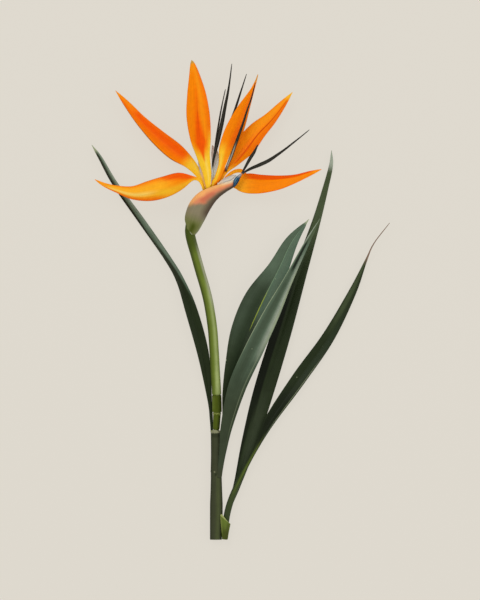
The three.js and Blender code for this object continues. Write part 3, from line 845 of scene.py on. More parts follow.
def make_speck_group():
    """Small scattered specks."""
    tree, given, result = new_group("specks", ("Specks", "Size"), ("Speck",))
    spot = add(tree, "ShaderNodeTexCoord").outputs["Object"]
    cells = add(tree, "ShaderNodeTexVoronoi", {"Vector": spot, "Scale": given["Specks"]})
    limit = maths(tree, "MULTIPLY", given["Size"], SPECK_BLUR)
    near = ramp(tree, cells.outputs["Distance"], given["Size"], limit, 1.0, 0.0)
    chance = add(tree, "ShaderNodeSeparateColor", {0: cells.outputs["Color"]}).outputs[0]
    few = maths(tree, "GREATER_THAN", chance, SPECK_CHANCE)
    tree.links.new(maths(tree, "MULTIPLY", near, few), result["Speck"])
    return tree


STRIP_NUMBERS = ("From", "To", "Middle", "Middle End", "Width", "Width End", "Soft", "Soft End",
                 "Strength")


def make_strip_group():
    """A soft strip along a piece, from From to To, whose middle and half width may change."""
    names = ("Across", "Along", "Fibre", "Ragged") + STRIP_NUMBERS
    tree, given, result = new_group("strip", names, ("Strip",))
    ragged = maths(tree, "SUBTRACT", given["Fibre"], 0.5)
    ragged = maths(tree, "MULTIPLY", ragged, given["Ragged"])
    along_it = maths(tree, "ADD", given["Along"], maths(tree, "MULTIPLY", ragged, 0.5))
    done = ramp(tree, along_it, given["From"], given["To"], kind="LINEAR")
    middle = ramp(tree, done, 0.0, 1.0, given["Middle"], given["Middle End"], kind="LINEAR")
    width = ramp(tree, done, 0.0, 1.0, given["Width"], given["Width End"], kind="LINEAR")
    away = maths(tree, "ABSOLUTE", maths(tree, "SUBTRACT", given["Across"], middle))
    away = maths(tree, "ADD", away, ragged)
    inner = maths(tree, "SUBTRACT", width, given["Soft"])
    outer = maths(tree, "ADD", width, given["Soft"])
    side = ramp(tree, away, inner, outer, 1.0, 0.0)
    before = maths(tree, "SUBTRACT", given["From"], given["Soft End"])
    after = maths(tree, "ADD", given["From"], given["Soft End"])
    start = ramp(tree, along_it, before, after)
    before = maths(tree, "SUBTRACT", given["To"], given["Soft End"])
    after = maths(tree, "ADD", given["To"], given["Soft End"])
    stop = ramp(tree, along_it, before, after, 1.0, 0.0)
    ends = maths(tree, "MULTIPLY", start, stop)
    full = maths(tree, "MULTIPLY", maths(tree, "MULTIPLY", side, ends), given["Strength"])
    tree.links.new(full, result["Strip"])
    return tree


PLACE = make_place_group()
FIBRES = make_fibre_group()
MOTTLE = make_mottle_group()
SPECKS = make_speck_group()
STRIP = make_strip_group()


def group(tree, which, inputs=None):
    """The outputs of a node group placed in a material."""
    return add(tree, "ShaderNodeGroup", inputs, node_tree=which).outputs


def tissue(name, base, strips, finish, seed=0.0, under=None, cut=None, specks=None):
    """A plant's skin: its base colour with strips over it, some of them painted light and shade,
    fine fibres and soft mottling.
    """
    material = bpy.data.materials.new(name)
    material.use_nodes = True
    tree = material.node_tree
    tree.nodes.clear()
    place = group(tree, PLACE)
    across, along_it = place["Across"], place["Along"]
    inputs = {"Across": across, "Along": along_it, "Lines": finish["lines"],
              "Runs": finish["runs"], "Seed": seed}
    fibre = group(tree, FIBRES, inputs)["Fibre"]
    inputs = {"Blotches": finish["blotches"], "Detail": NOISE_DETAIL}
    mottle = group(tree, MOTTLE, inputs)["Mottle"]
    shade = linear(COLOURS[base])
    for colour, *numbers in strips:
        inputs = {"Across": across, "Along": along_it, "Fibre": fibre, "Ragged": finish["ragged"]}
        mask = group(tree, STRIP, inputs | dict(zip(STRIP_NUMBERS, numbers)))
        shade = mix(tree, mask["Strip"], shade, linear(COLOURS[colour]))
    if under:
        colour, strength = under
        strength = maths(tree, "MULTIPLY", place["Underside"], strength)
        shade = mix(tree, strength, shade, linear(COLOURS[colour]))
    low, high = 1 - finish["tone"], 1 + finish["tone"]
    tone = ramp(tree, fibre, *NOISE_RANGE, low, high, kind="LINEAR")
    low, high = 1 - finish["blotch"], 1 + finish["blotch"]
    blotch = ramp(tree, mottle, *NOISE_RANGE, low, high, kind="LINEAR")
    light = maths(tree, "MULTIPLY", tone, blotch)
    shade = mix(tree, 1.0, shade, light, blend="MULTIPLY")
    if specks:
        colour, many, size, strength = specks
        speck = group(tree, SPECKS, {"Specks": many, "Size": size})["Speck"]
        shade = mix(tree, maths(tree, "MULTIPLY", speck, strength), shade, linear(COLOURS[colour]))
    if cut:
        shade = mix(tree, place["Cut End"], shade, linear(COLOURS[cut]))
    low, high = (finish["rough"] + change for change in ROUGH_RANGE)
    rough = ramp(tree, mottle, *NOISE_RANGE, low, high, kind="LINEAR")
    height = maths(tree, "MULTIPLY_ADD", mottle, DIMPLE, fibre)
    inputs = {"Height": height, "Strength": finish["relief"], "Distance": finish["depth"] * MM}
    bump = add(tree, "ShaderNodeBump", inputs)
    inputs = {"Base Color": shade, "Roughness": rough, "Normal": bump.outputs[0],
              "IOR": REFRACTION, "Specular IOR Level": finish["gloss"]}
    skin = add(tree, "ShaderNodeBsdfPrincipled", inputs)
    add(tree, "ShaderNodeOutputMaterial", {0: skin.outputs[0]})
    return material


# ---- Colours and finishes ----

COLOURS = {
    "orange": (255, 138, 0),
    "amber": (255, 158, 20),
    "deep orange": (251, 110, 0),
    "red orange": (246, 88, 0),
    "keel red": (206, 66, 0),
    "yellow": (255, 208, 48),
    "pale yellow": (255, 226, 120),
    "dry tip": (196, 160, 74),
    "edge brown": (150, 84, 16),
    "underside orange": (244, 142, 40),
    "near black": (36, 34, 28),
    "soft black": (70, 68, 60),
    "ash": (178, 174, 164),
    "slate blue": (82, 98, 112),
    "blue": (34, 78, 112),
    "deep blue": (16, 38, 66),
    "highlight blue": (118, 156, 178),
    "lavender": (190, 184, 184),
    "cool grey": (206, 212, 212),
    "silver": (216, 226, 224),
    "warm foot": (242, 198, 112),
    "pearl": (224, 216, 204),
    "pink white": (232, 208, 180),
    "olive grey": (136, 128, 104),
    "olive green": (106, 116, 54),
    "dark olive": (70, 82, 14),
    "peach": (250, 186, 112),
    "salmon": (230, 138, 98),
    "rose": (196, 100, 76),
    "cream": (236, 220, 194),
    "spathe shade brown": (80, 64, 54),
    "stalk green": (104, 122, 44),
    "stalk lit green": (170, 186, 122),
    "stalk shade green": (62, 76, 20),
    "bloom and highlight grey": (168, 172, 150),
    "collar green": (72, 86, 12),
    "collar dark": (48, 60, 2),
    "ring": (158, 166, 96),
    "stem": (62, 67, 48),
    "stem lit": (76, 85, 53),
    "stem dark": (40, 46, 28),
    "cut rim": (138, 140, 112),
    "lip": (160, 170, 108),
    "pith": (150, 160, 100),
    "sheath": (102, 120, 50),
    "sheath dark": (68, 76, 30),
    "leaf": (40, 56, 36),
    "leaf black": (14, 20, 10),
    "leaf olive": (38, 49, 28),
    "leaf shade": (50, 56, 42),
    "leaf steel": (56, 66, 48),
    "leaf moss": (76, 90, 62),
    "leaf mid": (58, 71, 55),
    "leaf grey": (92, 112, 94),
    "leaf lit teal": (90, 116, 98),
    "leaf sheen": (160, 172, 158),
    "leaf pale": (170, 182, 150),
    "leaf back": (92, 112, 86),
    "petiole": (66, 82, 34),
    "petiole light": (108, 124, 50),
    "rib yellow": (168, 188, 72),
    "rib grey": (126, 154, 124),
    "brown tip": (136, 112, 98),
}

# How a skin feels: the fibre lines across it and their runs along it, its blotches to the metre,
# how strongly each shows in tone, its roughness and gloss, the strength and the depth in mm of its
# relief, and how ragged the fibres make its strips.
PETAL = dict(lines=9, runs=3, blotches=260, tone=0.06, blotch=0.05, rough=0.42, gloss=0.08,
             relief=0.35, depth=0.25, ragged=0.1)
TONGUE = dict(lines=3, runs=3, blotches=500, tone=0.14, blotch=0.1, rough=0.36, gloss=0.15,
              relief=0.2, depth=0.1, ragged=0.1)
SKIN = dict(lines=7, runs=2, blotches=140, tone=0.04, blotch=0.05, rough=0.46, gloss=0.15,
            relief=0.25, depth=0.2, ragged=0.06)
STEM_SKIN = dict(lines=9, runs=3, blotches=160, tone=0.1, blotch=0.07, rough=0.52, gloss=0.1,
                 relief=0.4, depth=0.3, ragged=0.06)
LEAF_SKIN = dict(lines=26, runs=4, blotches=110, tone=0.09, blotch=0.09, rough=0.4, gloss=0.12,
                 relief=0.35, depth=0.2, ragged=0.03)

# Strips: colour, from and to along the piece, the strip's middle across the piece there, its
# half width there, how soft its sides and ends are, and its strength. Along is 0 at the foot and
# 1 at the tip, and across is -1 at the left edge and 1 at the right.


def band(colour, start, stop, soft_end, strength, soft=0.2):
    """A strip right across a piece."""
    return (colour, start, stop, 0.0, 0.0, 1.2, 1.2, soft, soft_end, strength)


SEPAL_PAINT = {
    "sepal_left_low": ("orange", (
        band("amber", 0.28, 1, 0.08, 0.65),
        ("yellow", 0.36, 0.94, 0, 0, 0.7, 0.7, 0.4, 0.08, 0.42),
        band("yellow", -0.2, 0.16, 0.05, 0.75),
        ("yellow", 0.14, 0.46, -0.75, -0.5, 0.35, 0.4, 0.3, 0.06, 0.6),
        ("red orange", 0.13, 0.4, 0.5, 1, 0.65, 0.25, 0.3, 0.05, 0.95),
        ("deep orange", 0.3, 0.95, 1, 1, 0.2, 0.15, 0.25, 0.08, 0.6),
        # A painted highlight streak along the middle of the blade.
        ("pale yellow", 0.5, 0.88, -0.15, -0.35, 0.16, 0.25, 0.25, 0.08, 0.75),
        ("deep orange", 0.42, 0.95, -1, -1, 0.35, 0.35, 0.25, 0.08, 0.85),
        band("amber", 0.88, 1.1, 0.04, 0.8),
    )),
    "sepal_left": ("orange", (
        ("deep orange", 0.3, 0.95, 0.2, 0, 0.8, 1, 0.4, 0.06, 0.85),
        ("red orange", 0.28, 0.8, 0.35, 0.25, 0.45, 0.4, 0.35, 0.05, 0.85),
        ("keel red", 0.36, 0.7, 0, 0, 0.02, 0.02, 0.05, 0.05, 0.3),
        ("amber", 0.8, 1.1, 0.5, 0.4, 0.6, 0.8, 0.4, 0.06, 0.5),
        ("yellow", -0.2, 0.26, -0.1, -0.1, 1.2, 1.2, 0.2, 0.05, 0.95),
        ("pale yellow", 0.08, 0.22, 0.35, 0.5, 0.2, 0.15, 0.2, 0.05, 0.5),
        ("edge brown", 0.3, 0.92, -1, -1, 0.08, 0.1, 0.08, 0.06, 0.8),
        band("amber", 0.95, 1.1, 0.02, 0.8),
    )),
    "sepal_centre": ("orange", (
        ("deep orange", 0.28, 0.96, 0.95, 0.95, 0.25, 0.25, 0.25, 0.08, 0.6),
        ("amber", 0.4, 0.96, 0.35, 0.3, 0.2, 0.2, 0.25, 0.08, 0.6),
        ("deep orange", 0.28, 0.8, -0.1, 0, 0.4, 0.1, 0.3, 0.05, 0.8),
        band("yellow", -0.2, 0.29, 0.06, 0.95),
        ("yellow", 0.2, 0.42, 1, 1, 0.35, 0.2, 0.25, 0.07, 0.9),
        ("yellow", 0.2, 0.36, -1, -1, 0.35, 0.15, 0.25, 0.05, 0.8),
        ("pale yellow", 0.06, 0.24, 0.25, 0.25, 0.25, 0.2, 0.2, 0.06, 0.5),
        ("red orange", 0.22, 0.38, 0.05, 0, 0.04, 0.5, 0.2, 0.02, 0.95),
        ("red orange", 0.36, 0.6, 0, 0, 0.5, 0.02, 0.22, 0.02, 0.9),
        ("keel red", 0.4, 0.95, 0, 0, 0.015, 0.015, 0.035, 0.04, 0.45),
        ("amber", 0.92, 1.1, -0.3, -0.2, 0.8, 0.8, 0.3, 0.03, 0.7),
        band("dry tip", 0.975, 1.1, 0.01, 0.9),
    )),
    "sepal_right_inner": ("orange", (
        ("deep orange", 0.36, 1, 0.45, 0.4, 0.5, 0.4, 0.35, 0.08, 0.6),
        ("red orange", 0.36, 0.56, 0.35, 0.4, 0.2, 0.2, 0.25, 0.06, 0.5),
        ("amber", -0.2, 0.36, 0.1, 0, 1.2, 1.2, 0.3, 0.06, 0.7),
        ("yellow", -0.2, 0.36, -0.35, -0.5, 0.6, 0.45, 0.3, 0.06, 0.85),
        ("deep orange", -0.1, 0.12, 0.6, 0.8, 0.5, 0.4, 0.3, 0.06, 0.5),
        ("pale yellow", 0.12, 0.28, -0.45, -0.5, 0.12, 0.1, 0.15, 0.05, 0.5),
        band("dry tip", 0.93, 1.1, 0.03, 0.7),
    )),
    "sepal_right": ("orange", (
        ("amber", 0.2, 1, -0.5, -0.4, 0.5, 0.45, 0.35, 0.08, 0.85),
        ("deep orange", 0.1, 0.5, 0, 0.15, 0.3, 0.15, 0.3, 0.06, 0.6),
        ("deep orange", 0.36, 1, 0.85, 0.8, 0.3, 0.4, 0.2, 0.06, 0.7),
        ("keel red", 0.16, 0.92, 0.36, 0.36, 0.04, 0.07, 0.06, 0.04, 1),
        ("red orange", 0.12, 0.45, 0.36, 0.4, 0.1, 0.12, 0.12, 0.05, 0.5),
        ("amber", -0.2, 0.21, 0.4, 0.6, 1.2, 0.8, 0.3, 0.05, 0.8),
        ("yellow", -0.2, 0.19, 0.4, 0.8, 1.2, 0.6, 0.3, 0.05, 0.4),
        band("yellow", 0.93, 1.1, 0.03, 0.7),
    )),
    "sepal_right_low": ("orange", (
        ("amber", -0.2, 0.22, 0.2, 0.2, 1.2, 1, 0.3, 0.08, 0.7),
        # Painted light: a faint yellow that brightens the foot where it lies in shade.
        ("yellow", -0.2, 0.14, 0.2, 0.4, 1.2, 0.7, 0.3, 0.06, 0.25),
        ("red orange", 0.16, 0.98, -0.8, -0.9, 0.36, 0.5, 0.08, 0.06, 0.95),
        ("deep orange", 0.3, 0.95, 1, 1, 0.15, 0.15, 0.15, 0.06, 0.6),
        band("amber", 0.9, 1.1, 0.03, 0.6),
    )),
}
SEPAL_EDGES = (
    ("edge brown", 0.04, 1.1, -1, -1, 0.015, 0.02, 0.04, 0.02, 0.75),
    ("edge brown", 0.04, 1.1, 1, 1, 0.015, 0.02, 0.04, 0.02, 0.75),
)
# Painted shade where each sepal's foot meets the spathe.
SEPAL_FOOT_SHADE = (
    band("edge brown", -0.2, 0.015, 0.03, 0.45),
)

TONGUE_STRIPS = (
    # A painted highlight along the tongue.
    ("soft black", 0.1, 0.75, -0.25, -0.2, 0.22, 0.15, 0.25, 0.1, 0.7),
    band("soft black", 0.8, 1.1, 0.1, 0.5, 0.3),
)
GROOVE_STRIPS = (
    ("ash", 0.04, 0.32, 0, 0, 0.62, 0.35, 0.3, 0.05, 0.75),
    ("soft black", 0.3, 0.5, 0.1, 0.1, 0.2, 0.12, 0.2, 0.05, 0.6),
    # A painted highlight along the tongue.
    ("soft black", 0.4, 0.9, -0.25, -0.2, 0.22, 0.15, 0.25, 0.1, 0.6),
)
BLUE_FOOT = (
    band("slate blue", -0.2, 0.04, 0.04, 0.6),
    # A painted highlight along the tongue.
    ("soft black", 0.2, 0.8, -0.2, -0.2, 0.2, 0.15, 0.25, 0.1, 0.6),
)
CENTRE_FOOT = (
    band("silver", -0.2, 0.08, 0.03, 0.85),
    # A painted highlight along the tongue.
    ("soft black", 0.15, 0.75, -0.25, -0.2, 0.22, 0.15, 0.25, 0.1, 0.7),
)
BACK_FOOT = (
    band("amber", -0.2, 0.06, 0.02, 0.85),
    # A painted highlight along the tongue.
    ("soft black", 0.2, 0.8, -0.2, -0.2, 0.2, 0.15, 0.25, 0.1, 0.6),
)
BLUE_STRIPS = (
    ("deep blue", 0, 1, 0, 0, 0.16, 0.1, 0.15, 0.1, 0.5),
    # The highlight blue strips are painted highlights.
    ("highlight blue", 0.3, 0.85, -0.4, -0.35, 0.12, 0.16, 0.15, 0.08, 0.75),
    ("highlight blue", 0.1, 0.4, 0.15, 0.25, 0.1, 0.1, 0.15, 0.08, 0.4),
    ("deep blue", 0, 0.45, 0.6, 0.9, 0.4, 0.3, 0.25, 0.1, 0.95),
    ("deep blue", 0.4, 0.95, 1, 1, 0.3, 0.3, 0.2, 0.1, 0.9),
    ("deep blue", 0, 0.9, -1, -1, 0.12, 0.12, 0.1, 0.1, 0.9),
    ("lavender", 0.72, 1.2, -0.3, 0, 0.7, 1.2, 0.3, 0.1, 0.6),
)
PALE_STRIPS = (
    ("pearl", 0.2, 0.95, 0.1, 0.1, 0.45, 0.4, 0.35, 0.1, 0.8),
    band("pink white", -0.2, 0.3, 0.1, 0.7, 0.3),
    ("slate blue", 0, 1, 1, 1, 0.1, 0.1, 0.1, 0.1, 0.5),
    ("slate blue", 0.2, 1.1, -1, -1, 0.08, 0.08, 0.1, 0.1, 0.4),
)
WARM_PALE_STRIPS = (
    ("pink white", 0.1, 0.8, 0.1, 0.1, 0.9, 0.7, 0.35, 0.12, 0.9),
    ("warm foot", -0.2, 0.5, 0.1, 0.1, 1.3, 1.3, 0.3, 0.15, 0.9),
    ("slate blue", 0.5, 1.1, -1, -1, 0.15, 0.15, 0.15, 0.1, 0.5),
)
COOL_PALE_STRIPS = (
    ("silver", -0.2, 0.75, 0.25, 0.15, 0.6, 0.45, 0.35, 0.12, 0.9),
    ("lavender", 0.55, 1.1, -0.5, -0.3, 0.5, 0.6, 0.3, 0.12, 0.7),
    ("slate blue", 0.1, 1, 1, 1, 0.08, 0.08, 0.1, 0.1, 0.4),
)
SPATHE_STRIPS = (
    ("olive green", -0.2, 0.19, 0, 0, 1.3, 1.3, 0.3, 0.09, 0.85),
    ("dark olive", -0.1, 0.13, 0.15, 0.1, 0.45, 0.3, 0.3, 0.045, 0.95),
    ("bloom and highlight grey", 0, 0.3, 1, 1, 0.1, 0.2, 0.25, 0.06, 0.4),
    # Painted shade along the lower right side.
    ("spathe shade brown", 0.24, 1.05, 1, 1.05, 0.4, 0.85, 0.5, 0.1, 0.95),
    ("salmon", 0.35, 0.46, -0.8, -0.35, 0.35, 0.65, 0.3, 0.03, 0.8),
    ("salmon", 0.42, 0.95, -0.5, -0.15, 0.62, 0.48, 0.4, 0.035, 0.95),
    ("rose", 0.43, 0.64, -0.2, 0.05, 0.34, 0.22, 0.3, 0.03, 0.6),
    ("peach", 0.31, 0.52, -1.1, -0.85, 0.25, 0.45, 0.3, 0.03, 0.8),
    ("peach", 0.48, 1.05, -1, -0.6, 0.45, 0.42, 0.4, 0.05, 0.9),
    ("cream", 0.78, 1.05, -1, -0.4, 0.4, 0.42, 0.35, 0.07, 0.9),
    # A painted highlight on the lip at the spathe's foot.
    ("bloom and highlight grey", -0.2, 0.01, 0.45, 0.45, 0.35, 0.35, 0.2, 0.006, 0.7),
)
STALK_STRIPS = (
    # Painted light and shade: stalk lit green lightens the right side, stalk shade green darkens
    # the left side and is a painted shadow at the top under the spathe, and bloom and highlight
    # grey is a painted highlight down the right side.
    ("stalk lit green", 0.24, 0.72, 0.35, 0.45, 0.3, 0.2, 0.45, 0.06, 0.85),
    ("stalk lit green", 0.22, 0.34, 0.3, 0.35, 0.5, 0.3, 0.35, 0.03, 0.6),
    ("stalk shade green", 0.22, 1, -0.95, -0.9, 0.25, 0.5, 0.4, 0.06, 0.9),
    ("bloom and highlight grey", 0.62, 0.93, 0.75, 0.75, 0.15, 0.22, 0.25, 0.05, 0.9),
    ("stalk shade green", 0.88, 1.1, 0, 0, 1.1, 1.1, 0.4, 0.04, 0.85),
    band("collar green", -0.1, 0.14, 0.01, 0.9, 0.3),
    ("collar dark", -0.1, 0.13, 0.6, 0.6, 0.3, 0.3, 0.35, 0.01, 0.8),
    band("ring", 0.135, 0.139, 0.002, 0.8, 0.3),
)
BRACT_STRIPS = (
    ("collar dark", -0.1, 1.1, 0.45, 0.45, 0.3, 0.25, 0.3, 0.2, 0.9),
    ("stalk green", 0.1, 0.95, -0.35, -0.3, 0.12, 0.12, 0.2, 0.2, 0.6),
)
STEM_STRIPS = (
    # Painted light and shade: stem lit lightens the middle, and the stem dark strips along both
    # edges are painted shade.
    ("stem lit", -0.1, 0.6, 0.25, 0.35, 0.35, 0.3, 0.35, 0.04, 0.9),
    ("stem dark", -0.1, 1, -1, -1, 0.15, 0.2, 0.25, 0.05, 0.9),
    ("stem dark", -0.1, 0.95, 1, 1, 0.1, 0.15, 0.2, 0.05, 0.9),
    ("stem dark", 0.66, 0.96, 0.35, 0.5, 0.12, 0.12, 0.2, 0.04, 0.5),
    ("cut rim", 0.613, 0.626, -0.28, -0.28, 0.12, 0.12, 0.12, 0.006, 0.85),
    # A painted shadow just under the pale scar.
    ("stem dark", 0.585, 0.608, -0.1, 0, 0.14, 0.2, 0.15, 0.008, 0.95),
    band("stem dark", 0.935, 0.972, 0.012, 0.6, 0.3),
    band("cut rim", 0.974, 1.1, 0.005, 0.95, 0.3),
)
SHEATH_STRIPS = (
    ("sheath dark", 0, 0.9, 0.35, 0.7, 0.4, 0.3, 0.35, 0.1, 0.7),
    ("sheath dark", -0.2, 0.5, 0, 0.2, 1.2, 0.9, 0.4, 0.2, 0.85),
    ("ring", 0.3, 0.9, -0.9, -0.9, 0.12, 0.12, 0.15, 0.1, 0.45),
    band("lip", 0.94, 1.2, 0.015, 0.95, 0.3),
)

LEAF_PAINT = {
    "leaf_left": ("leaf olive", (
        # Painted light and shade: leaf shade and leaf black darken the left half and its edge, and
        # leaf grey and leaf sheen lighten the right half as painted light and sheen.
        ("leaf shade", 0.46, 1.1, -0.5, -0.5, 0.55, 0.55, 0.15, 0.06, 0.9),
        ("leaf black", 0.68, 0.92, -0.8, -0.8, 0.28, 0.28, 0.15, 0.05, 0.8),
        ("leaf grey", 0.44, 0.66, 1, 0.5, 0.3, 0.95, 0.2, 0.05, 0.9),
        ("leaf grey", 0.66, 1.1, 0.5, 0.6, 0.95, 0.3, 0.2, 0.03, 0.9),
        ("leaf sheen", 0.52, 0.9, 0.55, 0.5, 0.35, 0.4, 0.3, 0.06, 0.22),
        ("leaf sheen", 0.72, 1, 0.75, 0.65, 0.15, 0.3, 0.2, 0.06, 0.5),
        band("leaf pale", 0.975, 1.1, 0.012, 0.8, 0.3),
    )),
    "leaf_broad": ("leaf mid", (
        band("leaf olive", -0.1, 0.42, 0.12, 0.85, 0.3),
        # Painted light and shade: the leaf strip darkens the left half, leaf lit teal lightens the
        # right half, and leaf grey from 0.6 on the right is a painted sheen.
        ("leaf", 0.28, 0.66, -0.25, -0.2, 0.25, 0.2, 0.3, 0.07, 0.65),
        ("leaf grey", 0.4, 0.75, -0.75, -0.6, 0.15, 0.2, 0.35, 0.1, 0.2),
        ("leaf grey", 0.7, 1.1, -0.5, -0.5, 0.6, 0.6, 0.3, 0.06, 0.75),
        ("leaf lit teal", 0.54, 1.1, 0.55, 0.5, 0.47, 0.47, 0.08, 0.06, 0.85),
        ("leaf grey", 0.6, 0.97, 0.45, 0.4, 0.25, 0.25, 0.3, 0.1, 0.8),
        ("rib yellow", 0.49, 0.66, 0.06, 0.06, 0.016, 0.02, 0.018, 0.02, 1),
        ("rib grey", 0.64, 0.96, 0.06, 0.06, 0.022, 0.03, 0.02, 0.03, 0.9),
        band("leaf pale", 0.978, 1.1, 0.01, 0.85, 0.3),
    )),
    "leaf_folded": ("leaf grey", (
        band("leaf mid", 0.2, 0.45, 0.12, 0.6, 0.3),
        band("leaf steel", -0.1, 0.34, 0.12, 0.95, 0.3),
        ("leaf mid", 0.3, 0.8, -0.35, -0.3, 0.4, 0.4, 0.3, 0.1, 0.7),
        # Painted light and shade: a painted sheen and highlight along the right edge, and leaf
        # black as painted shade inside the fold near the tip.
        ("leaf sheen", 0.48, 0.84, 0.62, 0.6, 0.25, 0.3, 0.3, 0.06, 0.95),
        ("leaf pale", 0.52, 0.8, 0.85, 0.85, 0.1, 0.12, 0.15, 0.05, 0.7),
        ("leaf black", 0.79, 0.91, -0.25, -0.2, 0.3, 0.4, 0.15, 0.02, 0.9),
        ("leaf pale", 0.46, 1, -0.97, -0.95, 0.03, 0.06, 0.03, 0.08, 0.7),
        ("leaf pale", 0.16, 0.5, 0.62, 0.72, 0.025, 0.04, 0.05, 0.05, 0.35),
        ("leaf", 0.02, 0.42, 1, 1, 0.15, 0.1, 0.1, 0.05, 0.8),
        band("stem", -0.2, 0.03, 0.03, 0.9, 0.3),
        ("leaf moss", 0.91, 1.1, 0.4, 0.2, 0.9, 0.9, 0.3, 0.02, 0.85),
        ("leaf sheen", 0.9, 1.1, -0.8, -0.4, 0.25, 0.35, 0.2, 0.03, 0.7),
    )),
    "leaf_tall": ("leaf olive", (
        ("leaf steel", 0.14, 0.36, 0.15, 0.15, 0.6, 0.45, 0.35, 0.06, 0.75),
        # The leaf black strips are painted shade over the left half and its edge.
        ("leaf black", 0.32, 0.64, -0.65, -0.65, 0.42, 0.38, 0.1, 0.06, 0.95),
        ("leaf black", 0.14, 0.34, -0.9, -0.75, 0.1, 0.32, 0.12, 0.06, 0.7),
        band("leaf moss", 0.74, 1, 0.1, 0.8, 0.3),
        ("leaf black", 0.66, 0.84, -0.9, -0.9, 0.15, 0.15, 0.12, 0.05, 0.5),
        band("petiole", -0.1, 0.12, 0.05, 0.7, 0.3),
        band("leaf sheen", 0.955, 1.1, 0.012, 0.95, 0.3),
    )),
    "leaf_right": ("leaf olive", (
        # A painted highlight along the left of the upper blade.
        ("leaf moss", 0.68, 0.92, -0.35, -0.2, 0.4, 0.7, 0.35, 0.06, 0.7),
        ("leaf black", 0.27, 0.46, 0, 0, 1, 0.8, 0.35, 0.05, 0.7),
        ("leaf", 0.5, 0.72, 0.5, 0.5, 0.3, 0.3, 0.35, 0.06, 0.5),
        ("leaf pale", 0.28, 0.56, 0.8, 0.84, 0.03, 0.03, 0.05, 0.04, 0.6),
        ("petiole", -0.1, 0.27, 0, 0.3, 1.2, 0.7, 0.3, 0.03, 0.95),
        ("petiole light", 0.13, 0.3, -0.1, 0.45, 0.1, 0.1, 0.2, 0.03, 0.7),
        band("leaf steel", -0.1, 0.14, 0.05, 0.6, 0.3),
        ("leaf mid", 0.05, 0.35, 0.95, 0.9, 0.2, 0.3, 0.15, 0.04, 0.6),
        band("brown tip", 0.875, 1.1, 0.02, 0.9, 0.3),
    )),
}


# ---- Pieces ----

def dress(piece, node, material, sharp=50):
    """A finished piece stands for its node and moves with the flower. Its faces meet in a crease
    where they turn by more than sharp degrees."""
    piece.name = node + "_fine"
    piece.data.materials.clear()
    piece.data.materials.append(material)
    piece.data.shade_smooth()
    piece.data.set_sharp_from_angle(angle=math.radians(sharp))
    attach(piece, "root")
    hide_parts(node)


def make_stems():
    skin = tissue("stem_skin", "stem", STEM_STRIPS, STEM_SKIN, seed=1.0, cut="pith")
    dress(lower_stem(), "lower_stem", skin)
    skin = tissue("stalk_skin", "stalk green", STALK_STRIPS, SKIN, seed=2.0)
    dress(flower_stalk(), "flower_stalk", skin)
    skin = tissue("bract_skin", "collar green", BRACT_STRIPS, SKIN, seed=3.0)
    dress(stalk_bract(), "stalk_bract", skin)
    piece = blade("cut_sheath", CUT_SHEATH, SHEATH_THICK, steps=40)
    skin = tissue("sheath_skin", "sheath", SHEATH_STRIPS, STEM_SKIN, seed=4.0)
    dress(piece, "cut_sheath", skin)


def make_spathe():
    skin = tissue("spathe_skin", "olive grey", SPATHE_STRIPS, SKIN, seed=5.0)
    dress(spathe(), "spathe", skin)


def make_sepals():
    under = ("underside orange", 0.4)  # colour and strength
    for number, (name, shape) in enumerate(SEPALS.items()):
        base, strips = SEPAL_PAINT[name]
        strips = strips + SEPAL_EDGES
        if name != "sepal_right_low":
            strips = strips + SEPAL_FOOT_SHADE
        skin = tissue(name + "_skin", base, strips, PETAL, seed=10.0 + number, under=under)
        dress(sepal(name, **shape), name, skin)


def make_dark_petals():
    plain = tissue("tongue_skin", "near black", TONGUE_STRIPS, TONGUE, seed=20.0)
    grooved = tissue("grooved_tongue_skin", "near black", GROOVE_STRIPS, TONGUE, seed=21.0)
    blue_foot = tissue("blue_footed_tongue_skin", "near black", BLUE_FOOT, TONGUE, seed=22.0)
    pale_foot = tissue("pale_footed_tongue_skin", "near black", CENTRE_FOOT, TONGUE, seed=28.0)
    amber_foot = tissue("amber_footed_tongue_skin", "near black", BACK_FOOT, TONGUE, seed=26.0)
    skins = {"petal_dark_front": grooved, "petal_dark_upright": blue_foot,
             "petal_dark_long": blue_foot, "petal_dark_back": amber_foot,
             "petal_dark_centre": pale_foot}
    for name, rows in DARK_PETALS.items():
        piece = blade(name, rows, DARK_THICK, steps=60, columns=10, channel=DARK_CHANNEL)
        dress(piece, name, skins.get(name, plain), sharp=100)


def make_blue_petal():
    piece = blade("petal_blue_arrow", BLUE_ARROW, BLUE_THICK, steps=40, columns=12,
                  channel=BLUE_CHANNEL)
    skin = tissue("blue_skin", "blue", BLUE_STRIPS, TONGUE, seed=23.0)
    dress(piece, "petal_blue_arrow", skin)


def make_pale_petals():
    plain = tissue("pale_skin", "lavender", PALE_STRIPS, PETAL, seed=24.0)
    warm = tissue("warm_pale_skin", "lavender", WARM_PALE_STRIPS, PETAL, seed=25.0)
    cool = tissue("cool_pale_skin", "cool grey", COOL_PALE_STRIPS, PETAL, seed=27.0)
    skins = {"petal_pale_mouth": plain, "petal_pale_left": warm, "petal_pale_middle": cool}
    for name, rows in PALE_PETALS.items():
        dress(blade(name, rows, PALE_THICK, steps=40, columns=10), name, skins[name])


def make_leaves():
    under = ("leaf back", 0.6)
    specks = ("leaf pale", 90.0, 0.05, 0.5)  # colour, number to the metre, size and strength
    for number, name in enumerate(LEAVES):
        base, strips = LEAF_PAINT[name]
        skin = tissue(name + "_skin", base, strips, LEAF_SKIN, seed=30.0 + number, under=under,
                      specks=specks)
        dress(leaf(name), name, skin)


make_stems()
make_spathe()
make_sepals()
make_dark_petals()
make_blue_petal()
make_pale_petals()
make_leaves()


# ---- Floor, light and camera ----

# Lengths here are in metres
FLOOR = (221, 216, 206)
FLOOR_REACH = 6
FLOOR_HEIGHT = -0.0004
FLOOR_GLOW = 1.03
GLOW_SHARE = 0.88  # how much of the floor's brightness is its own
ROOM_LIGHT = 0.92
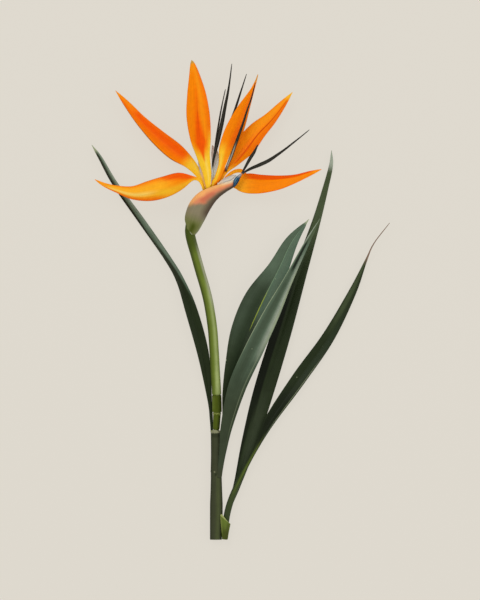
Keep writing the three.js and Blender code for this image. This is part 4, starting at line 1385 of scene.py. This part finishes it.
# Each lamp's place, size and power in watts
LAMPS = {
    "key_lamp": ((-0.7, 1.0, 1.9), 1.0, 11),
    "side_lamp": ((1.5, 0.2, 1.4), 1.2, 6),
}
DISTANCE = 4.0  # from the camera to the flower
FRAME_HEIGHT = 0.563  # what the picture takes in, top to bottom, at the flower
FLOWER_HEIGHT = 0.025
LOOK_AT = (-0.0006, 0.0009)
SENSOR = 24.0  # the height of the film, in mm
FARTHEST = 50  # how far the camera sees


def make_floor():
    """A pale floor that takes only the faintest shadow."""
    mesh = bpy.data.meshes.new("floor")
    corners = [(x * FLOOR_REACH, y * FLOOR_REACH, FLOOR_HEIGHT)
               for x, y in ((-1, -1), (1, -1), (1, 1), (-1, 1))]
    mesh.from_pydata(corners, [], [(0, 1, 2, 3)])
    floor = link("floor", mesh)
    material = bpy.data.materials.new("floor_paint")
    material.use_nodes = True
    tree = material.node_tree
    tree.nodes.clear()
    matt = add(tree, "ShaderNodeBsdfDiffuse", {"Color": linear(FLOOR)})
    glow = add(tree, "ShaderNodeEmission", {"Color": linear(FLOOR), "Strength": FLOOR_GLOW})
    inputs = {0: GLOW_SHARE, 1: matt.outputs[0], 2: glow.outputs[0]}
    both = add(tree, "ShaderNodeMixShader", inputs)
    add(tree, "ShaderNodeOutputMaterial", {0: both.outputs[0]})
    mesh.materials.append(material)


def make_light(name, place, size, power):
    """A large soft lamp that faces the middle of the flower."""
    data = bpy.data.lights.new(name, "AREA")
    data.size = size
    data.energy = power
    lamp = link(name, data)
    lamp.location = place
    lamp.rotation_euler = (-lamp.location).to_track_quat("-Z", "Y").to_euler()


def make_world():
    world = bpy.data.worlds.new("room")
    world.use_nodes = True
    sky = world.node_tree.nodes["Background"]
    sky.inputs["Color"].default_value = linear(FLOOR)
    sky.inputs["Strength"].default_value = ROOM_LIGHT
    bpy.context.scene.world = world


def make_camera():
    """Straight above the flower, far off, with a long lens."""
    data = bpy.data.cameras.new("camera")
    data.sensor_fit = "VERTICAL"
    data.sensor_height = SENSOR
    data.lens = SENSOR * DISTANCE / FRAME_HEIGHT
    data.clip_end = FARTHEST
    camera = link("camera", data)
    camera.location = (*LOOK_AT, FLOWER_HEIGHT + DISTANCE)
    bpy.context.scene.camera = camera


make_floor()
for name, lamp in LAMPS.items():
    make_light(name, *lamp)
make_world()
make_camera()
bpy.context.scene.view_settings.view_transform = "Standard"
